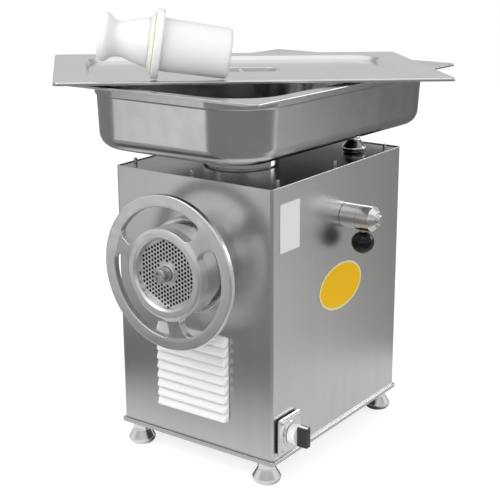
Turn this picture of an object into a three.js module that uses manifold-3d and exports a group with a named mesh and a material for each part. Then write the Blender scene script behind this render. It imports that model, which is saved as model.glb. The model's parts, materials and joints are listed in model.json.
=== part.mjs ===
// Industrial meat grinder: a stainless cabinet on bell feet, a size 98 grinding head with a ring
// handwheel, a belt drive, a feed pan with its lid, and a pusher that lies on the lid.
// Millimetres, +Z up. X runs along the front panel and Y from the front to the back.
import * as THREE from 'three';
import { mergeVertices } from 'three/addons/utils/BufferGeometryUtils.js';
import Module from 'manifold-3d';

const wasm = await Module();
wasm.setup();

// Clearances and cuts that every piece shares
const seat = 0.3;
const running_gap = 0.5;
const overrun = 4;
const weld = 0.0001;

// Cabinet
const cabinet_width = 262;
const cabinet_depth = 336;
const cabinet_height = 378;
const cabinet_sheet = 1.5;
const cabinet_fold_radius = 4;
const cabinet_ledge = 22;

// Base tray and bell feet
const tray_thickness = 6;
const tray_overhang = 3.5;
const tray_corner_radius = 5;
const foot_height = 32;
const foot_bell_radius = 20;
const foot_neck_radius = 12.5;
const foot_stud_radius = 4;
const foot_inset_x = 19;
const foot_inset_y = 15;
const bell_sole_share = 0.8;
const bell_belly_share = 0.24;
const bell_heel_share = 0.95;
const bell_waist_share = 0.66;

// Top plate, its screws and the feed throat
const top_plate_thickness = 2;
const top_plate_inset = 1.2;
const top_screw_radius = 2.6;
const top_screw_shank_radius = 1.8;
const top_screw_height = 7.5;
const top_screw_inset = 11.5;
const top_screw_end_inset = 28;
const top_screw_middle_x = -9;
const top_screw_front_inset = 15;
const throat_radius = 50;
const throat_wall = 3.5;
const throat_y = 115;
const throat_rise = 15;

// Grinding head
const head_axis_height = 258;
const barrel_radius = 59;
const barrel_bore_radius = 46;
const barrel_thread_radius = 56;
const barrel_flange_radius = 66;
const barrel_flange_thickness = 12;
const barrel_rear_y = 158;
const barrel_rear_wall = 8;
const barrel_mouth_radius = 42;
const spigot_radius = 40;
const spigot_length = 34;

// Mincing plate
const plate_radius = 49;
const plate_thickness = 11;
const plate_boss_radius = 13;
const plate_boss_height = 2.4;
const plate_bush_radius = 11.3;
const plate_hole_radius = 1.75;
const plate_hole_pitch = 5.8;
const plate_hole_zone = 43.5;
const plate_hole_margin = 2.6;
const plate_notch_radius = 3;
const plate_proud = 1;
const plate_key_angle = 190;
const plate_key_depth = 6;

// Knife
const knife_thickness = 12;
const knife_radius = 44.5;
const knife_hub_radius = 16;
const knife_arm_width = 14;
const knife_sweep = 8;
const knife_arms = 4;

// Worm
const worm_radius = 45;
const worm_core_radius = 17;
const worm_core_taper = 5;
const worm_pitch = 46;
const worm_flight_root = 10;
const worm_flight_tip = 6;
const worm_square = 20;
const worm_stud_radius = 9.6;
const worm_stud_reach = 71;
const worm_collar_radius = 22;
const worm_shank_radius = 13;
const worm_tang = 20;
const worm_tang_length = 22;
const worm_tang_overlap = 2;
const worm_tang_play = 1;
const stud_dome_share = 0.55;
const stud_cup_radius = 6;
const stud_cup_depth = 3;
const stud_bar_width = 3;
const washer_thickness = 4;

// Ring handwheel
const ring_radius = 106.5;
const ring_reach = 63;
const ring_rim_reach = 56;
const ring_rim_width = 15.5;
const ring_rim_depth = 10;
const ring_rim_round = 4;
const ring_opening_radius = 47.5;
const ring_bevel = 3;
const ring_hub_radius = 61;
const ring_lip_depth = 9.4;
const ring_skirt_length = 41;
const ring_web_depth = 9;
const ring_slot_corner = 10;
const ring_fillet = 1;
const ring_slot_angle = 103;
const ring_first_slot = 101;
const ring_slots = 3;

// Drive
const drive_nose_radius = 20;
const drive_nose_length = 30;
const journal_radius = 15;
const pulley_seat_radius = 12;
const bearing_radius = 31;
const bearing_width = 16;
const seal_width = 5;
const clamp_socket_radius = 54;
const clamp_split = 4;
const clamp_ear_width = 34;
const housing_radius = 38;
const housing_length = 74;
const housing_foot_width = 110;
const housing_foot_thickness = 8;
const housing_foot_drop = 66;
const frame_thickness = 6;
const drive_pulley_radius = 100;
const drive_pulley_y = 290;
const pulley_width = 16;
const groove_depth = 9;
const belt_width = 11;
const belt_thickness = 8;
const belt_ride_share = 0.17;
const drive_web = 6;
const drive_hub_radius = 23;
const drive_holes = 5;
const drive_hole_share = 0.6;

// Motor
const motor_axis_height = 85;
const motor_radius = 66;
const motor_front_y = 62;
const motor_length = 180;
const motor_shaft_radius = 9;
const motor_bell_radius = 48;
const motor_bell_length = 14;
const motor_foot_width = 96;
const motor_foot_length = 120;
const motor_cradle_share = 0.7;
const motor_pulley_radius = 27;
const fan_radius = 52;
const fan_hub_radius = 15;
const fan_width = 16;
const fan_blade = 3;
const fan_blades = 6;

// Clamp lever on the right side
const clamp_y = 180;
const clamp_wall = 3;
const clamp_boss_radius = 17.5;
const clamp_sleeve_length = 23.5;
const clamp_hub_length = 21;
const clamp_cone_length = 8;
const clamp_cone_radius = 11;
const clamp_edge = 1.1;
const clamp_cap_radius = 7.5;
const clamp_cap_length = 4;
const clamp_cap_end_share = 0.7;
const clamp_bolt_radius = 6;
const clamp_bolt_head_radius = 10;
const clamp_bolt_head_length = 8;
const lever_radius = 4.6;
const lever_offset = 5;
const lever_top = 9;
const ball_radius = 16;
const ball_drop = 35;
const ball_socket_depth = 2;

// Switch on the right side
const switch_y = 35;
const switch_height = 32;
const switch_size = 53;
const switch_corner = 4;
const switch_gasket_inset = 0.6;
const switch_screw_radius = 2.4;
const switch_screw_height = 1.4;
const switch_screw_inset = 6.5;
const switch_gasket_thickness = 2.2;
const switch_plate_thickness = 4;
const switch_collar_radius = 18;
const switch_collar_height = 2;
const switch_knob_radius = 14.4;
const switch_knob_length = 11;
const switch_bar_length = 28;
const switch_bar_width = 10.5;
const switch_bar_reach = 16;
const switch_cover_wall = 1.6;
const switch_box = 44;
const switch_box_depth = 40;
const switch_spindle_radius = 4;

// Vent grille on the front
const vent_width = 122;
const vent_height = 123;
const vent_base_height = 42;
const vent_sheet = 2;
const vent_reach = 8.5;
const vent_count = 9;
const vent_hood_corner = 4;
const vent_hood_gap = 0.8;
const vent_slot_height = 5.5;
const vent_roof = 3.2;
const vent_margin = 9;

// Rear cover
const rear_cover_side_margin = 31;
const rear_cover_end_margin = 39;
const rear_cover_corner = 8;
const rear_cover_lap = 9;
const rear_slot_length = 110;
const rear_slot_height = 5;
const rear_slot_pitch = 14;
const rear_slot_round = 2.2;
const rear_slot_count = 6;
const rear_slot_base_height = 34;
const gland_radius = 11;
const gland_thread_radius = 7.7;
const gland_length = 16;
const gland_bore_radius = 4;
const gland_height = 30;

// Plain stickers on the right side
const sticker_thickness = 0.4;
const label_width = 46;
const label_height = 66;
const label_corner = 2;
const label_y = 40;
const label_z = 322;
const oval_length = 113;
const oval_height = 68;
const oval_y = 170.5;
const oval_z = 206;

// Feed pan
const pan_width = 325;
const pan_length = 530;
const pan_depth = 88;
const pan_sheet = 1.2;
const pan_body_width = 285;
const pan_body_length = 498;
const pan_draft = 3.5;
const pan_bottom_round = 22;
const pan_body_corner = 70;
const pan_rim_corner = 9;
const pan_lip = 3.5;
const pan_step_drop = 14;
const pan_step = 2.5;
const pan_rim_above_cabinet = 117;
const pan_offset_x = -2;
const pan_offset_y = 16;
const pan_tilt = 1.1;
const spout_wall = 2.5;
const spout_flare = 9;
const spout_flare_shares = [0.3, 0.35];
const spout_hole_radius = 46;
const post_x = 90;
const post_y = 270;
const post_bell_radius = 17.8;
const post_neck_radius = 8.5;

// Pan lid, laid askew on the rim
const lid_length = 530;
const lid_width = 325;
const lid_sheet = 1.2;
const lid_corner = 8;
const lid_lip = 4.5;
const lid_border = 44;
const lid_recess = 6;
const lid_recess_corner = 46;
const lid_recess_slope = 5;
const lid_dish_length = 114;
const lid_dish_width = 52;
const lid_dish_depth = 13;
const lid_yaw = 43.8;
const lid_shift_x = -38;
const lid_shift_y = -11;
const lid_grip_radius = 3.2;
const lid_grip_drop = 3.6;

// Pusher
const pusher_end_radius = 32.6;
const pusher_root_radius = 34.2;
const pusher_body_length = 89;
const pusher_collar_radius = 45;
const pusher_collar_width = 10.5;
const pusher_ring_width = 6;
const pusher_handle_length = 64;
const pusher_handle_radius = 32.4;
const pusher_shoulder_radius = 27.5;
const pusher_neck_radius = 22.2;
const pusher_knob_radius = 31.5;
const pusher_round = 4;
const pusher_end_share = 0.3;
const handle_shares = [0.3, 0.62, 0.85, 0.97];
const pusher_x = -126;
const pusher_y = -149;
const pusher_yaw = -4;

// Places that follow from the sizes above
const tray_bottom = foot_height + seat;
const tray_top = tray_bottom + tray_thickness;
const cabinet_bottom = tray_top + seat;
const cabinet_top = cabinet_bottom + cabinet_height;
const half_width = cabinet_width / 2;
const top_plate_top = cabinet_top - top_plate_inset;
const top_plate_bottom = top_plate_top - top_plate_thickness;
const ledge_top = top_plate_bottom - seat;
const head_axis_z = cabinet_bottom + head_axis_height;
const lip_back_y = -ring_reach + ring_lip_depth;
const plate_front_y = lip_back_y + seat;
const plate_back_y = plate_front_y + plate_thickness;
const knife_front_y = plate_back_y + seat;
const knife_back_y = knife_front_y + knife_thickness;
const worm_front_y = knife_back_y + seat;
const rear_wall_back_y = barrel_rear_y + barrel_rear_wall;
const spigot_back_y = rear_wall_back_y + spigot_length;
const drive_front_y = rear_wall_back_y + overrun;
const housing_front_y = spigot_back_y + overrun;
const housing_back_y = housing_front_y + housing_length;
const motor_axis_z = cabinet_bottom + motor_axis_height;
const pulley_middle_y = drive_pulley_y + pulley_width / 2;
const clamp_rise = spigot_radius + clamp_wall + clamp_bolt_radius;
const clamp_z = head_axis_z + clamp_rise;
const clamp_sleeve_start = half_width + seat;
const clamp_hub_start = clamp_sleeve_start + clamp_sleeve_length + seat;
const clamp_cone_start = clamp_hub_start + clamp_hub_length;
const clamp_hub_end = clamp_cone_start + clamp_cone_length;
const switch_z = cabinet_bottom + switch_height;
const gasket_start = half_width + seat;
const switch_plate_start = gasket_start + switch_gasket_thickness + seat;
const switch_face = switch_plate_start + switch_plate_thickness;
const switch_knob_start = switch_face + switch_collar_height + running_gap;
const rear_cover_width = cabinet_width - 2 * rear_cover_side_margin;
const rear_cover_height = cabinet_height - 2 * rear_cover_end_margin;
const gland_x = -(half_width - rear_cover_side_margin / 2);
const pan_centre_y = cabinet_depth / 2 + pan_offset_y;
const pan_rim_z = cabinet_top + pan_rim_above_cabinet;
const pan_tilt_angle = THREE.MathUtils.degToRad(pan_tilt);
const spout_y = throat_y - pan_centre_y + (pan_depth + throat_rise) * Math.sin(pan_tilt_angle);
const collar_front = -pusher_body_length;
const collar_back = collar_front - pusher_collar_width;
const pusher_ring_back = collar_back - seat - pusher_ring_width;
const pusher_handle_front = pusher_ring_back - seat;

// Facets round a full circle, by how large the round is
const round_sides = 36;
const medium_sides = 24;
const small_sides = 14;
const inner_sides = 14;
const screw_sides = 8;
const hole_sides = 6;
const plate_hole_sides = 5;
const corner_steps = 4;
const fold_steps = 2;
const handle_steps = 10;
const worm_steps = 15;
const belt_steps = 14;
const ring_slot_steps = 4;
const plain_steps = 1;
const pan_round_steps = 4;

// Solids

// A closed geometry as a solid, with shared vertices merged and faces turned outwards
function solid(geometry) {
  const plain = geometry.index ? geometry.toNonIndexed() : geometry.clone();
  plain.deleteAttribute('normal');
  plain.deleteAttribute('uv');
  const merged = mergeVertices(plain, weld);
  const points = merged.attributes.position.array;
  const corners = merged.index.array;
  const faces = [];
  let volume = 0;
  const at = (i) => new THREE.Vector3(points[3 * i], points[3 * i + 1], points[3 * i + 2]);
  for (let i = 0; i < corners.length; i += 3) {
    const [a, b, c] = [corners[i], corners[i + 1], corners[i + 2]];
    if (a === b || b === c || a === c) continue;
    faces.push(a, b, c);
    volume += at(a).dot(at(b).cross(at(c)));
  }
  if (volume < 0) faces.reverse();
  const mesh = new wasm.Mesh({
    numProp: 3,
    vertProperties: Float32Array.from(points),
    triVerts: Uint32Array.from(faces),
  });
  return new wasm.Manifold(mesh);
}

// The triangles of a solid as a geometry for a mesh
function geometry_of(body) {
  const mesh = body.getMesh();
  const geometry = new THREE.BufferGeometry();
  geometry.setAttribute('position', new THREE.BufferAttribute(mesh.vertProperties, 3));
  geometry.setIndex(new THREE.BufferAttribute(mesh.triVerts, 1));
  geometry.computeVertexNormals();
  return geometry;
}

function piece(name, body, colour, roughness, metalness) {
  const material = new THREE.MeshStandardMaterial({ color: colour, roughness, metalness });
  const mesh = new THREE.Mesh(geometry_of(body), material);
  mesh.name = name;
  return mesh;
}

// The angles of a number of copies spread evenly round a circle, in degrees
function around(count) {
  return Array.from({ length: count }, (unused, i) => (360 * i) / count);
}

function unite(bodies) {
  return bodies.reduce((whole, body) => whole.add(body));
}

function cut(body, ...tools) {
  return tools.reduce((left, tool) => left.subtract(tool), body);
}

function block([x0, x1], [y0, y1], [z0, z1]) {
  const geometry = new THREE.BoxGeometry(x1 - x0, y1 - y0, z1 - z0);
  geometry.translate((x0 + x1) / 2, (y0 + y1) / 2, (z0 + z1) / 2);
  return solid(geometry);
}

// Turns a geometry made along Y so that it runs along the named axis
function aim(geometry, axis) {
  if (axis === 'x') geometry.rotateZ(-Math.PI / 2);
  if (axis === 'z') geometry.rotateX(Math.PI / 2);
  return geometry;
}

// A revolve of [radius, place] points round an axis through the given centre
function turned(profile, sides, axis = 'y', centre = [0, 0, 0]) {
  const points = profile.map(([radius, place]) => new THREE.Vector2(radius, place));
  const geometry = aim(new THREE.LatheGeometry(points, sides), axis);
  geometry.translate(...centre);
  return solid(geometry);
}

// A solid round bar, or with an inner radius a closed tube, from one place to another
function bar(radius, from, to, sides, axis = 'y', centre = [0, 0, 0], inner = 0) {
  const low = [inner, from];
  const profile = [low, [radius, from], [radius, to], [inner, to]];
  if (inner > 0) profile.push(low);
  return turned(profile, sides, axis, centre);
}

// The radius of a faceted bore whose flats still clear a turning round by the gap
function clear_bore(radius, sides, gap = running_gap) {
  return (radius + gap) / Math.cos(Math.PI / sides);
}

// A flat outline drawn in the plane across an axis and pushed along that axis
function pushed(shape, from, to, axis, steps = corner_steps) {
  const geometry = new THREE.ExtrudeGeometry(shape, {
    depth: to - from,
    bevelEnabled: false,
    curveSegments: steps,
  });
  geometry.translate(0, 0, from);
  const [x, y, z] = [new THREE.Vector3(1, 0, 0), new THREE.Vector3(0, 1, 0), new THREE.Vector3(0, 0, 1)];
  const turn = new THREE.Matrix4();
  if (axis === 'x') turn.makeBasis(y, z, x);
  if (axis === 'y') turn.makeBasis(x, z, y);
  geometry.applyMatrix4(turn);
  return solid(geometry);
}

function rounded(width, height, radius, [cx, cy] = [0, 0]) {
  const shape = new THREE.Shape();
  const [x, y] = [width / 2 - radius, height / 2 - radius];
  shape.absarc(cx + x, cy + y, radius, 0, Math.PI / 2);
  shape.absarc(cx - x, cy + y, radius, Math.PI / 2, Math.PI);
  shape.absarc(cx - x, cy - y, radius, Math.PI, 1.5 * Math.PI);
  shape.absarc(cx + x, cy - y, radius, 1.5 * Math.PI, 2 * Math.PI);
  shape.closePath();
  return shape;
}

function outline(points) {
  return new THREE.Shape(points.map(([x, y]) => new THREE.Vector2(x, y)));
}

// One level of a drawn sheet form: a rounded rectangle at the height z
function level(half_x, half_y, radius, z) {
  const ring = [];
  const corner = Math.max(radius, weld * 10);
  const middles = [[1, 1], [-1, 1], [-1, -1], [1, -1]];
  middles.forEach(([sx, sy], quarter) => {
    for (let i = 0; i <= corner_steps; i++) {
      const angle = (Math.PI / 2) * (quarter + i / corner_steps);
      ring.push(new THREE.Vector3(
        sx * (half_x - corner) + corner * Math.cos(angle),
        sy * (half_y - corner) + corner * Math.sin(angle),
        z,
      ));
    }
  });
  return ring;
}

// A skin over rings of the same count, capped flat at both ends
function lofted(rings) {
  const count = rings[0].length;
  const positions = rings.flat().flatMap((p) => [p.x, p.y, p.z]);
  const index = [];
  for (let r = 0; r < rings.length - 1; r++) {
    for (let i = 0; i < count; i++) {
      const [a, b] = [r * count + i, r * count + ((i + 1) % count)];
      index.push(a, b, b + count, a, b + count, a + count);
    }
  }
  const last = (rings.length - 1) * count;
  for (let i = 1; i < count - 1; i++) {
    index.push(0, i + 1, i);
    index.push(last, last + i, last + i + 1);
  }
  const geometry = new THREE.BufferGeometry();
  geometry.setAttribute('position', new THREE.Float32BufferAttribute(positions, 3));
  geometry.setIndex(index);
  return solid(geometry);
}

// Base tray and feet

function foot_places() {
  const x = half_width - foot_inset_x;
  const [front, back] = [foot_inset_y, cabinet_depth - foot_inset_y];
  return {
    front_left: [-x, front],
    front_right: [x, front],
    rear_left: [-x, back],
    rear_right: [x, back],
  };
}

// The bell that the feet and the pan posts share: [radius, height] points
function bell_profile(height, bell, neck) {
  const [belly, waist] = [height * bell_belly_share, height * bell_waist_share];
  return [
    [0, 0],
    [bell * bell_sole_share, 0],
    [bell * bell_heel_share, belly / 2],
    [bell, belly],
    [(bell + neck) / 2, (belly + waist) / 2],
    [neck, waist],
    [neck, height],
  ];
}

function base_tray() {
  const width = cabinet_width + 2 * tray_overhang;
  const depth = cabinet_depth + 2 * tray_overhang;
  const shape = rounded(width, depth, tray_corner_radius, [0, cabinet_depth / 2]);
  const holes = Object.values(foot_places()).map(([x, y]) => bar(
    foot_stud_radius + running_gap,
    tray_bottom - overrun,
    tray_top + overrun,
    screw_sides,
    'z',
    [x, y, 0],
  ));
  const body = cut(pushed(shape, tray_bottom, tray_top, 'z', fold_steps), ...holes);
  return piece('base_tray', body, 0xc9cbcc, 0.35, 0.9);
}

function feet() {
  return Object.entries(foot_places()).map(([place, [x, y]]) => {
    const stud = [[foot_stud_radius, foot_height], [foot_stud_radius, tray_top], [0, tray_top]];
    const bell = bell_profile(foot_height, foot_bell_radius, foot_neck_radius);
    const body = turned([...bell, ...stud], small_sides, 'z');
    const foot = piece('foot_' + place, body, 0xdadcdd, 0.25, 0.9);
    foot.position.set(x, y, 0);
    return foot;
  });
}

// Cabinet

function cabinet_tube(inset, from, to) {
  const radius = Math.max(cabinet_fold_radius - inset, seat);
  const [width, depth] = [cabinet_width - 2 * inset, cabinet_depth - 2 * inset];
  return pushed(rounded(width, depth, radius, [0, cabinet_depth / 2]), from, to, 'z', fold_steps);
}

function top_screw_places() {
  const x = half_width - top_screw_inset;
  const middle = cabinet_depth / 2;
  const [front, back] = [top_screw_end_inset, cabinet_depth - top_screw_end_inset];
  const sides = [front, middle, back].flatMap((y) => [[-x, y], [x, y]]);
  const ends = [top_screw_front_inset, cabinet_depth - top_screw_front_inset];
  return [...sides, ...ends.map((y) => [top_screw_middle_x, y])];
}

function top_screw_holes(from, to) {
  const radius = top_screw_shank_radius + seat;
  return top_screw_places().map(([x, y]) => bar(radius, from, to, hole_sides, 'z', [x, y, 0]));
}

function cabinet_shell() {
  const inner = cabinet_tube(cabinet_sheet, cabinet_bottom + cabinet_sheet, cabinet_top + overrun);
  const ledge_low = ledge_top - cabinet_sheet;
  const ledge_inset = cabinet_sheet / 2;
  const inner_shelf = [cabinet_width - 2 * cabinet_ledge, cabinet_depth - 2 * cabinet_ledge];
  const well = rounded(...inner_shelf, cabinet_fold_radius, [0, cabinet_depth / 2]);
  const shelf = cut(
    cabinet_tube(ledge_inset, ledge_low, ledge_top),
    pushed(well, ledge_low - overrun, ledge_top + overrun, 'z', plain_steps),
    ...top_screw_holes(ledge_low - overrun, ledge_top + overrun),
  );
  const floor_span = [cabinet_bottom - overrun, cabinet_bottom + cabinet_sheet + overrun];
  const head_hole = bar(
    barrel_radius + running_gap,
    -overrun,
    cabinet_sheet + overrun,
    round_sides,
    'y',
    [0, 0, head_axis_z],
  );
  const vent_window = rounded(
    vent_width - 2 * vent_margin,
    vent_height - 2 * vent_margin,
    vent_hood_corner,
    [0, cabinet_bottom + vent_base_height + vent_height / 2],
  );
  const rear_window = rounded(
    rear_cover_width - 2 * rear_cover_lap,
    rear_cover_height - 2 * rear_cover_lap,
    rear_cover_corner,
    [0, cabinet_bottom + cabinet_height / 2],
  );
  const side_span = [half_width - cabinet_sheet - overrun, half_width + overrun];
  const rear_span = [cabinet_depth - cabinet_sheet - overrun, cabinet_depth + overrun];
  const clamp_centre = [0, clamp_y, clamp_z];
  const clamp_hole = bar(clamp_bolt_radius + running_gap, ...side_span, small_sides, 'x', clamp_centre);
  const spindle_hole = bar(
    switch_spindle_radius + running_gap,
    ...side_span,
    small_sides,
    'x',
    [0, switch_y, switch_z],
  );
  const gland_centre = [gland_x, 0, cabinet_bottom + gland_height];
  const gland_hole = bar(gland_thread_radius + seat, ...rear_span, small_sides, 'y', gland_centre);
  const body = cut(
    cabinet_tube(0, cabinet_bottom, cabinet_top),
    inner,
    pushed(well, ...floor_span, 'z', plain_steps),
    head_hole,
    pushed(vent_window, -overrun, cabinet_sheet + overrun, 'y', plain_steps),
    pushed(rear_window, ...rear_span, 'y', fold_steps),
    clamp_hole,
    spindle_hole,
    gland_hole,
  );
  return piece('cabinet_shell', body.add(shelf), 0xb9bab9, 0.32, 1);
}

function top_plate() {
  const inset = cabinet_sheet + seat;
  const span = [top_plate_bottom - overrun, top_plate_top + overrun];
  const throat = bar(throat_radius + seat, ...span, round_sides, 'z', [0, throat_y, 0]);
  const plate = cabinet_tube(inset, top_plate_bottom, top_plate_top);
  const body = cut(plate, throat, ...top_screw_holes(...span));
  return piece('top_plate', body, 0xa9aaa8, 0.18, 1);
}

function top_screws() {
  return top_screw_places().map(([x, y], number) => {
    const low = ledge_top - 2 * cabinet_sheet;
    const head = top_plate_top + seat;
    const profile = [
      [0, low],
      [top_screw_shank_radius, low],
      [top_screw_shank_radius, head],
      [top_screw_radius, head],
      [top_screw_radius, head + top_screw_height - top_screw_radius / 2],
      [top_screw_radius / 2, head + top_screw_height],
      [0, head + top_screw_height],
    ];
    const name = 'top_screw_' + (number + 1);
    const screw = piece(name, turned(profile, screw_sides, 'z'), 0xd5d6d6, 0.25, 1);
    screw.position.set(x, y, 0);
    return screw;
  });
}

// The fixed tube that leads from the pan down to the mouth of the barrel
function throat_tube() {
  const top = top_plate_top + throat_rise;
  const inner = throat_radius - throat_wall;
  const tube = bar(throat_radius, head_axis_z, top, round_sides, 'z', [0, throat_y, 0], inner);
  const reach = throat_y + 2 * throat_radius;
  const saddle = bar(barrel_radius + running_gap, -overrun, reach, round_sides, 'y', [0, 0, head_axis_z]);
  const below = head_axis_z + barrel_mouth_radius;
  const height = [below - throat_radius / 2, top + overrun];
  const keep = block([-reach, reach], [-reach, reach + throat_y], height);
  return piece('throat_tube', cut(tube.intersect(keep), saddle), 0xb4b6b6, 0.22, 1);
}

// Vent grille: hoods that are open underneath, on a slotted backing plate
function vent_grille() {
  const base = cabinet_bottom + vent_base_height;
  const pitch = vent_height / vent_count;
  const [back, front] = [-seat, -seat - vent_sheet];
  const lip = front - vent_reach;
  const backing_shape = rounded(
    vent_width - 2 * vent_hood_corner,
    vent_height - 2 * vent_hood_gap,
    vent_hood_corner,
    [0, base + vent_height / 2],
  );
  const half = vent_width / 2 - vent_margin - vent_sheet;
  const hoods = [];
  const slots = [];
  for (let i = 0; i < vent_count; i++) {
    const low = base + pitch * i + vent_hood_gap / 2;
    const high = low + pitch - vent_hood_gap;
    const [roof, slot] = [high - vent_roof, low + vent_sheet];
    const wedge = outline([[front, high], [lip, slot], [lip, low], [back, low], [back, high]]);
    const hollow = outline([
      [front, roof],
      [lip + vent_sheet, slot],
      [lip + vent_sheet, low - overrun],
      [front, low - overrun],
    ]);
    const face = rounded(vent_width, pitch - vent_hood_gap, vent_hood_corner, [0, (low + high) / 2]);
    const outer = pushed(face, lip, back, 'y', fold_steps);
    const hood = outer.intersect(pushed(wedge, -vent_width, vent_width, 'x'));
    hoods.push(cut(hood, pushed(hollow, -half, half, 'x')));
    slots.push(block([-half, half], [front, back + overrun], [slot, slot + vent_slot_height]));
  }
  const body = cut(unite([pushed(backing_shape, front, back, 'y', fold_steps), ...hoods]), ...slots);
  return piece('vent_grille', body, 0xf1f1ee, 0.45, 0);
}

// Rear cover with a group of louvre slots
function rear_cover() {
  const middle = [0, cabinet_bottom + cabinet_height / 2];
  const front = cabinet_depth + seat;
  const span = [front - overrun, front + cabinet_sheet + overrun];
  const slots = [];
  for (let i = 0; i < rear_slot_count; i++) {
    const height = middle[1] - rear_cover_height / 2 + rear_slot_base_height + i * rear_slot_pitch;
    const shape = rounded(rear_slot_length, rear_slot_height, rear_slot_round, [0, height]);
    slots.push(pushed(shape, ...span, 'y', fold_steps));
  }
  const plate = rounded(rear_cover_width, rear_cover_height, rear_cover_corner, middle);
  const body = cut(pushed(plate, front, front + cabinet_sheet, 'y', fold_steps), ...slots);
  return piece('rear_cover', body, 0xb9bab9, 0.34, 1);
}

function cable_gland() {
  const outside = cabinet_depth + seat;
  const inside = cabinet_depth - cabinet_sheet - overrun;
  const end = outside + gland_length;
  const nut = outside + gland_length / 2;
  const profile = [
    [gland_bore_radius, inside],
    [gland_thread_radius, inside],
    [gland_thread_radius, outside],
    [gland_radius, outside],
    [gland_radius, nut],
    [gland_thread_radius, end],
    [gland_bore_radius, end],
    [gland_bore_radius, inside],
  ];
  const body = turned(profile, small_sides, 'y', [gland_x, 0, cabinet_bottom + gland_height]);
  return piece('cable_gland', body, 0x1c1c1d, 0.6, 0);
}

// Grinding head, built round the head axis: Y along the axis, zero at the front panel

function square_bar(side, from, to) {
  return block([-side / 2, side / 2], [from, to], [-side / 2, side / 2]);
}

function head_barrel() {
  const front = plate_front_y + plate_proud;
  const shoulder = plate_back_y + seat;
  const flange_back = -seat;
  const flange_front = flange_back - barrel_flange_thickness;
  const recess = plate_radius + running_gap + seat;
  const spigot_bore = drive_nose_radius + running_gap;
  const shank_bore = worm_shank_radius + running_gap;
  const nose_stop = rear_wall_back_y - overrun / 2;
  const profile = [
    [recess, front],
    [barrel_thread_radius, front],
    [barrel_thread_radius, flange_front],
    [barrel_flange_radius, flange_front],
    [barrel_flange_radius, flange_back],
    [barrel_radius, flange_back],
    [barrel_radius, rear_wall_back_y],
    [spigot_radius, rear_wall_back_y],
    [spigot_radius, spigot_back_y],
    [spigot_bore, spigot_back_y],
    [spigot_bore, nose_stop],
    [shank_bore, nose_stop],
    [shank_bore, barrel_rear_y],
    [barrel_bore_radius, barrel_rear_y],
    [barrel_bore_radius, shoulder],
    [recess, shoulder],
    [recess, front],
  ];
  const mouth = bar(barrel_mouth_radius, 0, 2 * barrel_radius, medium_sides, 'z', [0, throat_y, 0]);
  const key_span = [front - overrun, shoulder + plate_key_depth];
  const key_slot = bar(plate_notch_radius, ...key_span, screw_sides, 'y', key_place());
  const body = cut(turned(profile, medium_sides), mouth, key_slot);
  return piece('head_barrel', body, 0xb7b8b6, 0.3, 1);
}

// Where the key that stops the plate from turning lies, seen from the front
function key_place() {
  const angle = THREE.MathUtils.degToRad(plate_key_angle);
  return [plate_radius * Math.cos(angle), 0, plate_radius * Math.sin(angle)];
}

function plate_key() {
  const span = [plate_front_y + plate_proud, plate_back_y + plate_key_depth];
  const body = bar(plate_notch_radius - seat, ...span, screw_sides, 'y', key_place());
  return piece('plate_key', body, 0x8f9091, 0.4, 1);
}

// The holes stand in columns, half a pitch apart from one column to the next
function plate_hole_places() {
  const column_pitch = plate_hole_pitch * Math.sqrt(3) / 2;
  const inner = plate_boss_radius + plate_hole_margin;
  const reach = Math.ceil(plate_hole_zone / column_pitch);
  const rows = Math.ceil(plate_hole_zone / plate_hole_pitch);
  const places = [];
  for (let column = -reach; column <= reach; column++) {
    const shift = column % 2 === 0 ? 0 : plate_hole_pitch / 2;
    for (let row = -rows; row <= rows; row++) {
      const [x, z] = [column * column_pitch, row * plate_hole_pitch + shift];
      const radius = Math.hypot(x, z);
      if (radius <= plate_hole_zone && radius >= inner) places.push([x, z]);
    }
  }
  return places;
}

function mincing_plate() {
  const shape = new THREE.Shape();
  const notch = plate_notch_radius + seat;
  shape.absarc(0, 0, plate_radius, 0, 2 * Math.PI);
  const holes = [[0, 0, plate_bush_radius + running_gap, small_sides]];
  plate_hole_places().forEach(([x, z]) => holes.push([x, z, plate_hole_radius, plate_hole_sides]));
  for (const [x, z, radius, sides] of holes) {
    const hole = new THREE.Path();
    for (let i = 0; i < sides; i++) {
      const angle = (2 * Math.PI * i) / sides;
      const [px, pz] = [x + radius * Math.cos(angle), z + radius * Math.sin(angle)];
      if (i === 0) hole.moveTo(px, pz);
      else hole.lineTo(px, pz);
    }
    hole.closePath();
    shape.holes.push(hole);
  }
  const disc = pushed(shape, plate_front_y, plate_back_y, 'y', round_sides);
  const span = [plate_front_y - overrun, plate_back_y + overrun];
  const places = [key_place(), [0, 0, -plate_radius]];
  const notches = places.map((place) => bar(notch, ...span, screw_sides, 'y', place));
  return piece('mincing_plate', cut(disc, ...notches), 0xc6c7c6, 0.28, 1);
}

// The bushing in the middle of the plate, which the worm's stud turns in
function plate_bushing() {
  const front = plate_front_y - plate_boss_height;
  const bore = worm_stud_radius + running_gap;
  const shoulder = plate_front_y - seat;
  const profile = [
    [bore, front],
    [plate_boss_radius - plate_boss_height / 2, front],
    [plate_boss_radius, front + plate_boss_height / 2],
    [plate_boss_radius, shoulder],
    [plate_bush_radius, shoulder],
    [plate_bush_radius, plate_back_y],
    [bore, plate_back_y],
    [bore, front],
  ];
  return piece('plate_bushing', turned(profile, small_sides), 0xc6c7c6, 0.24, 1);
}

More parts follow.
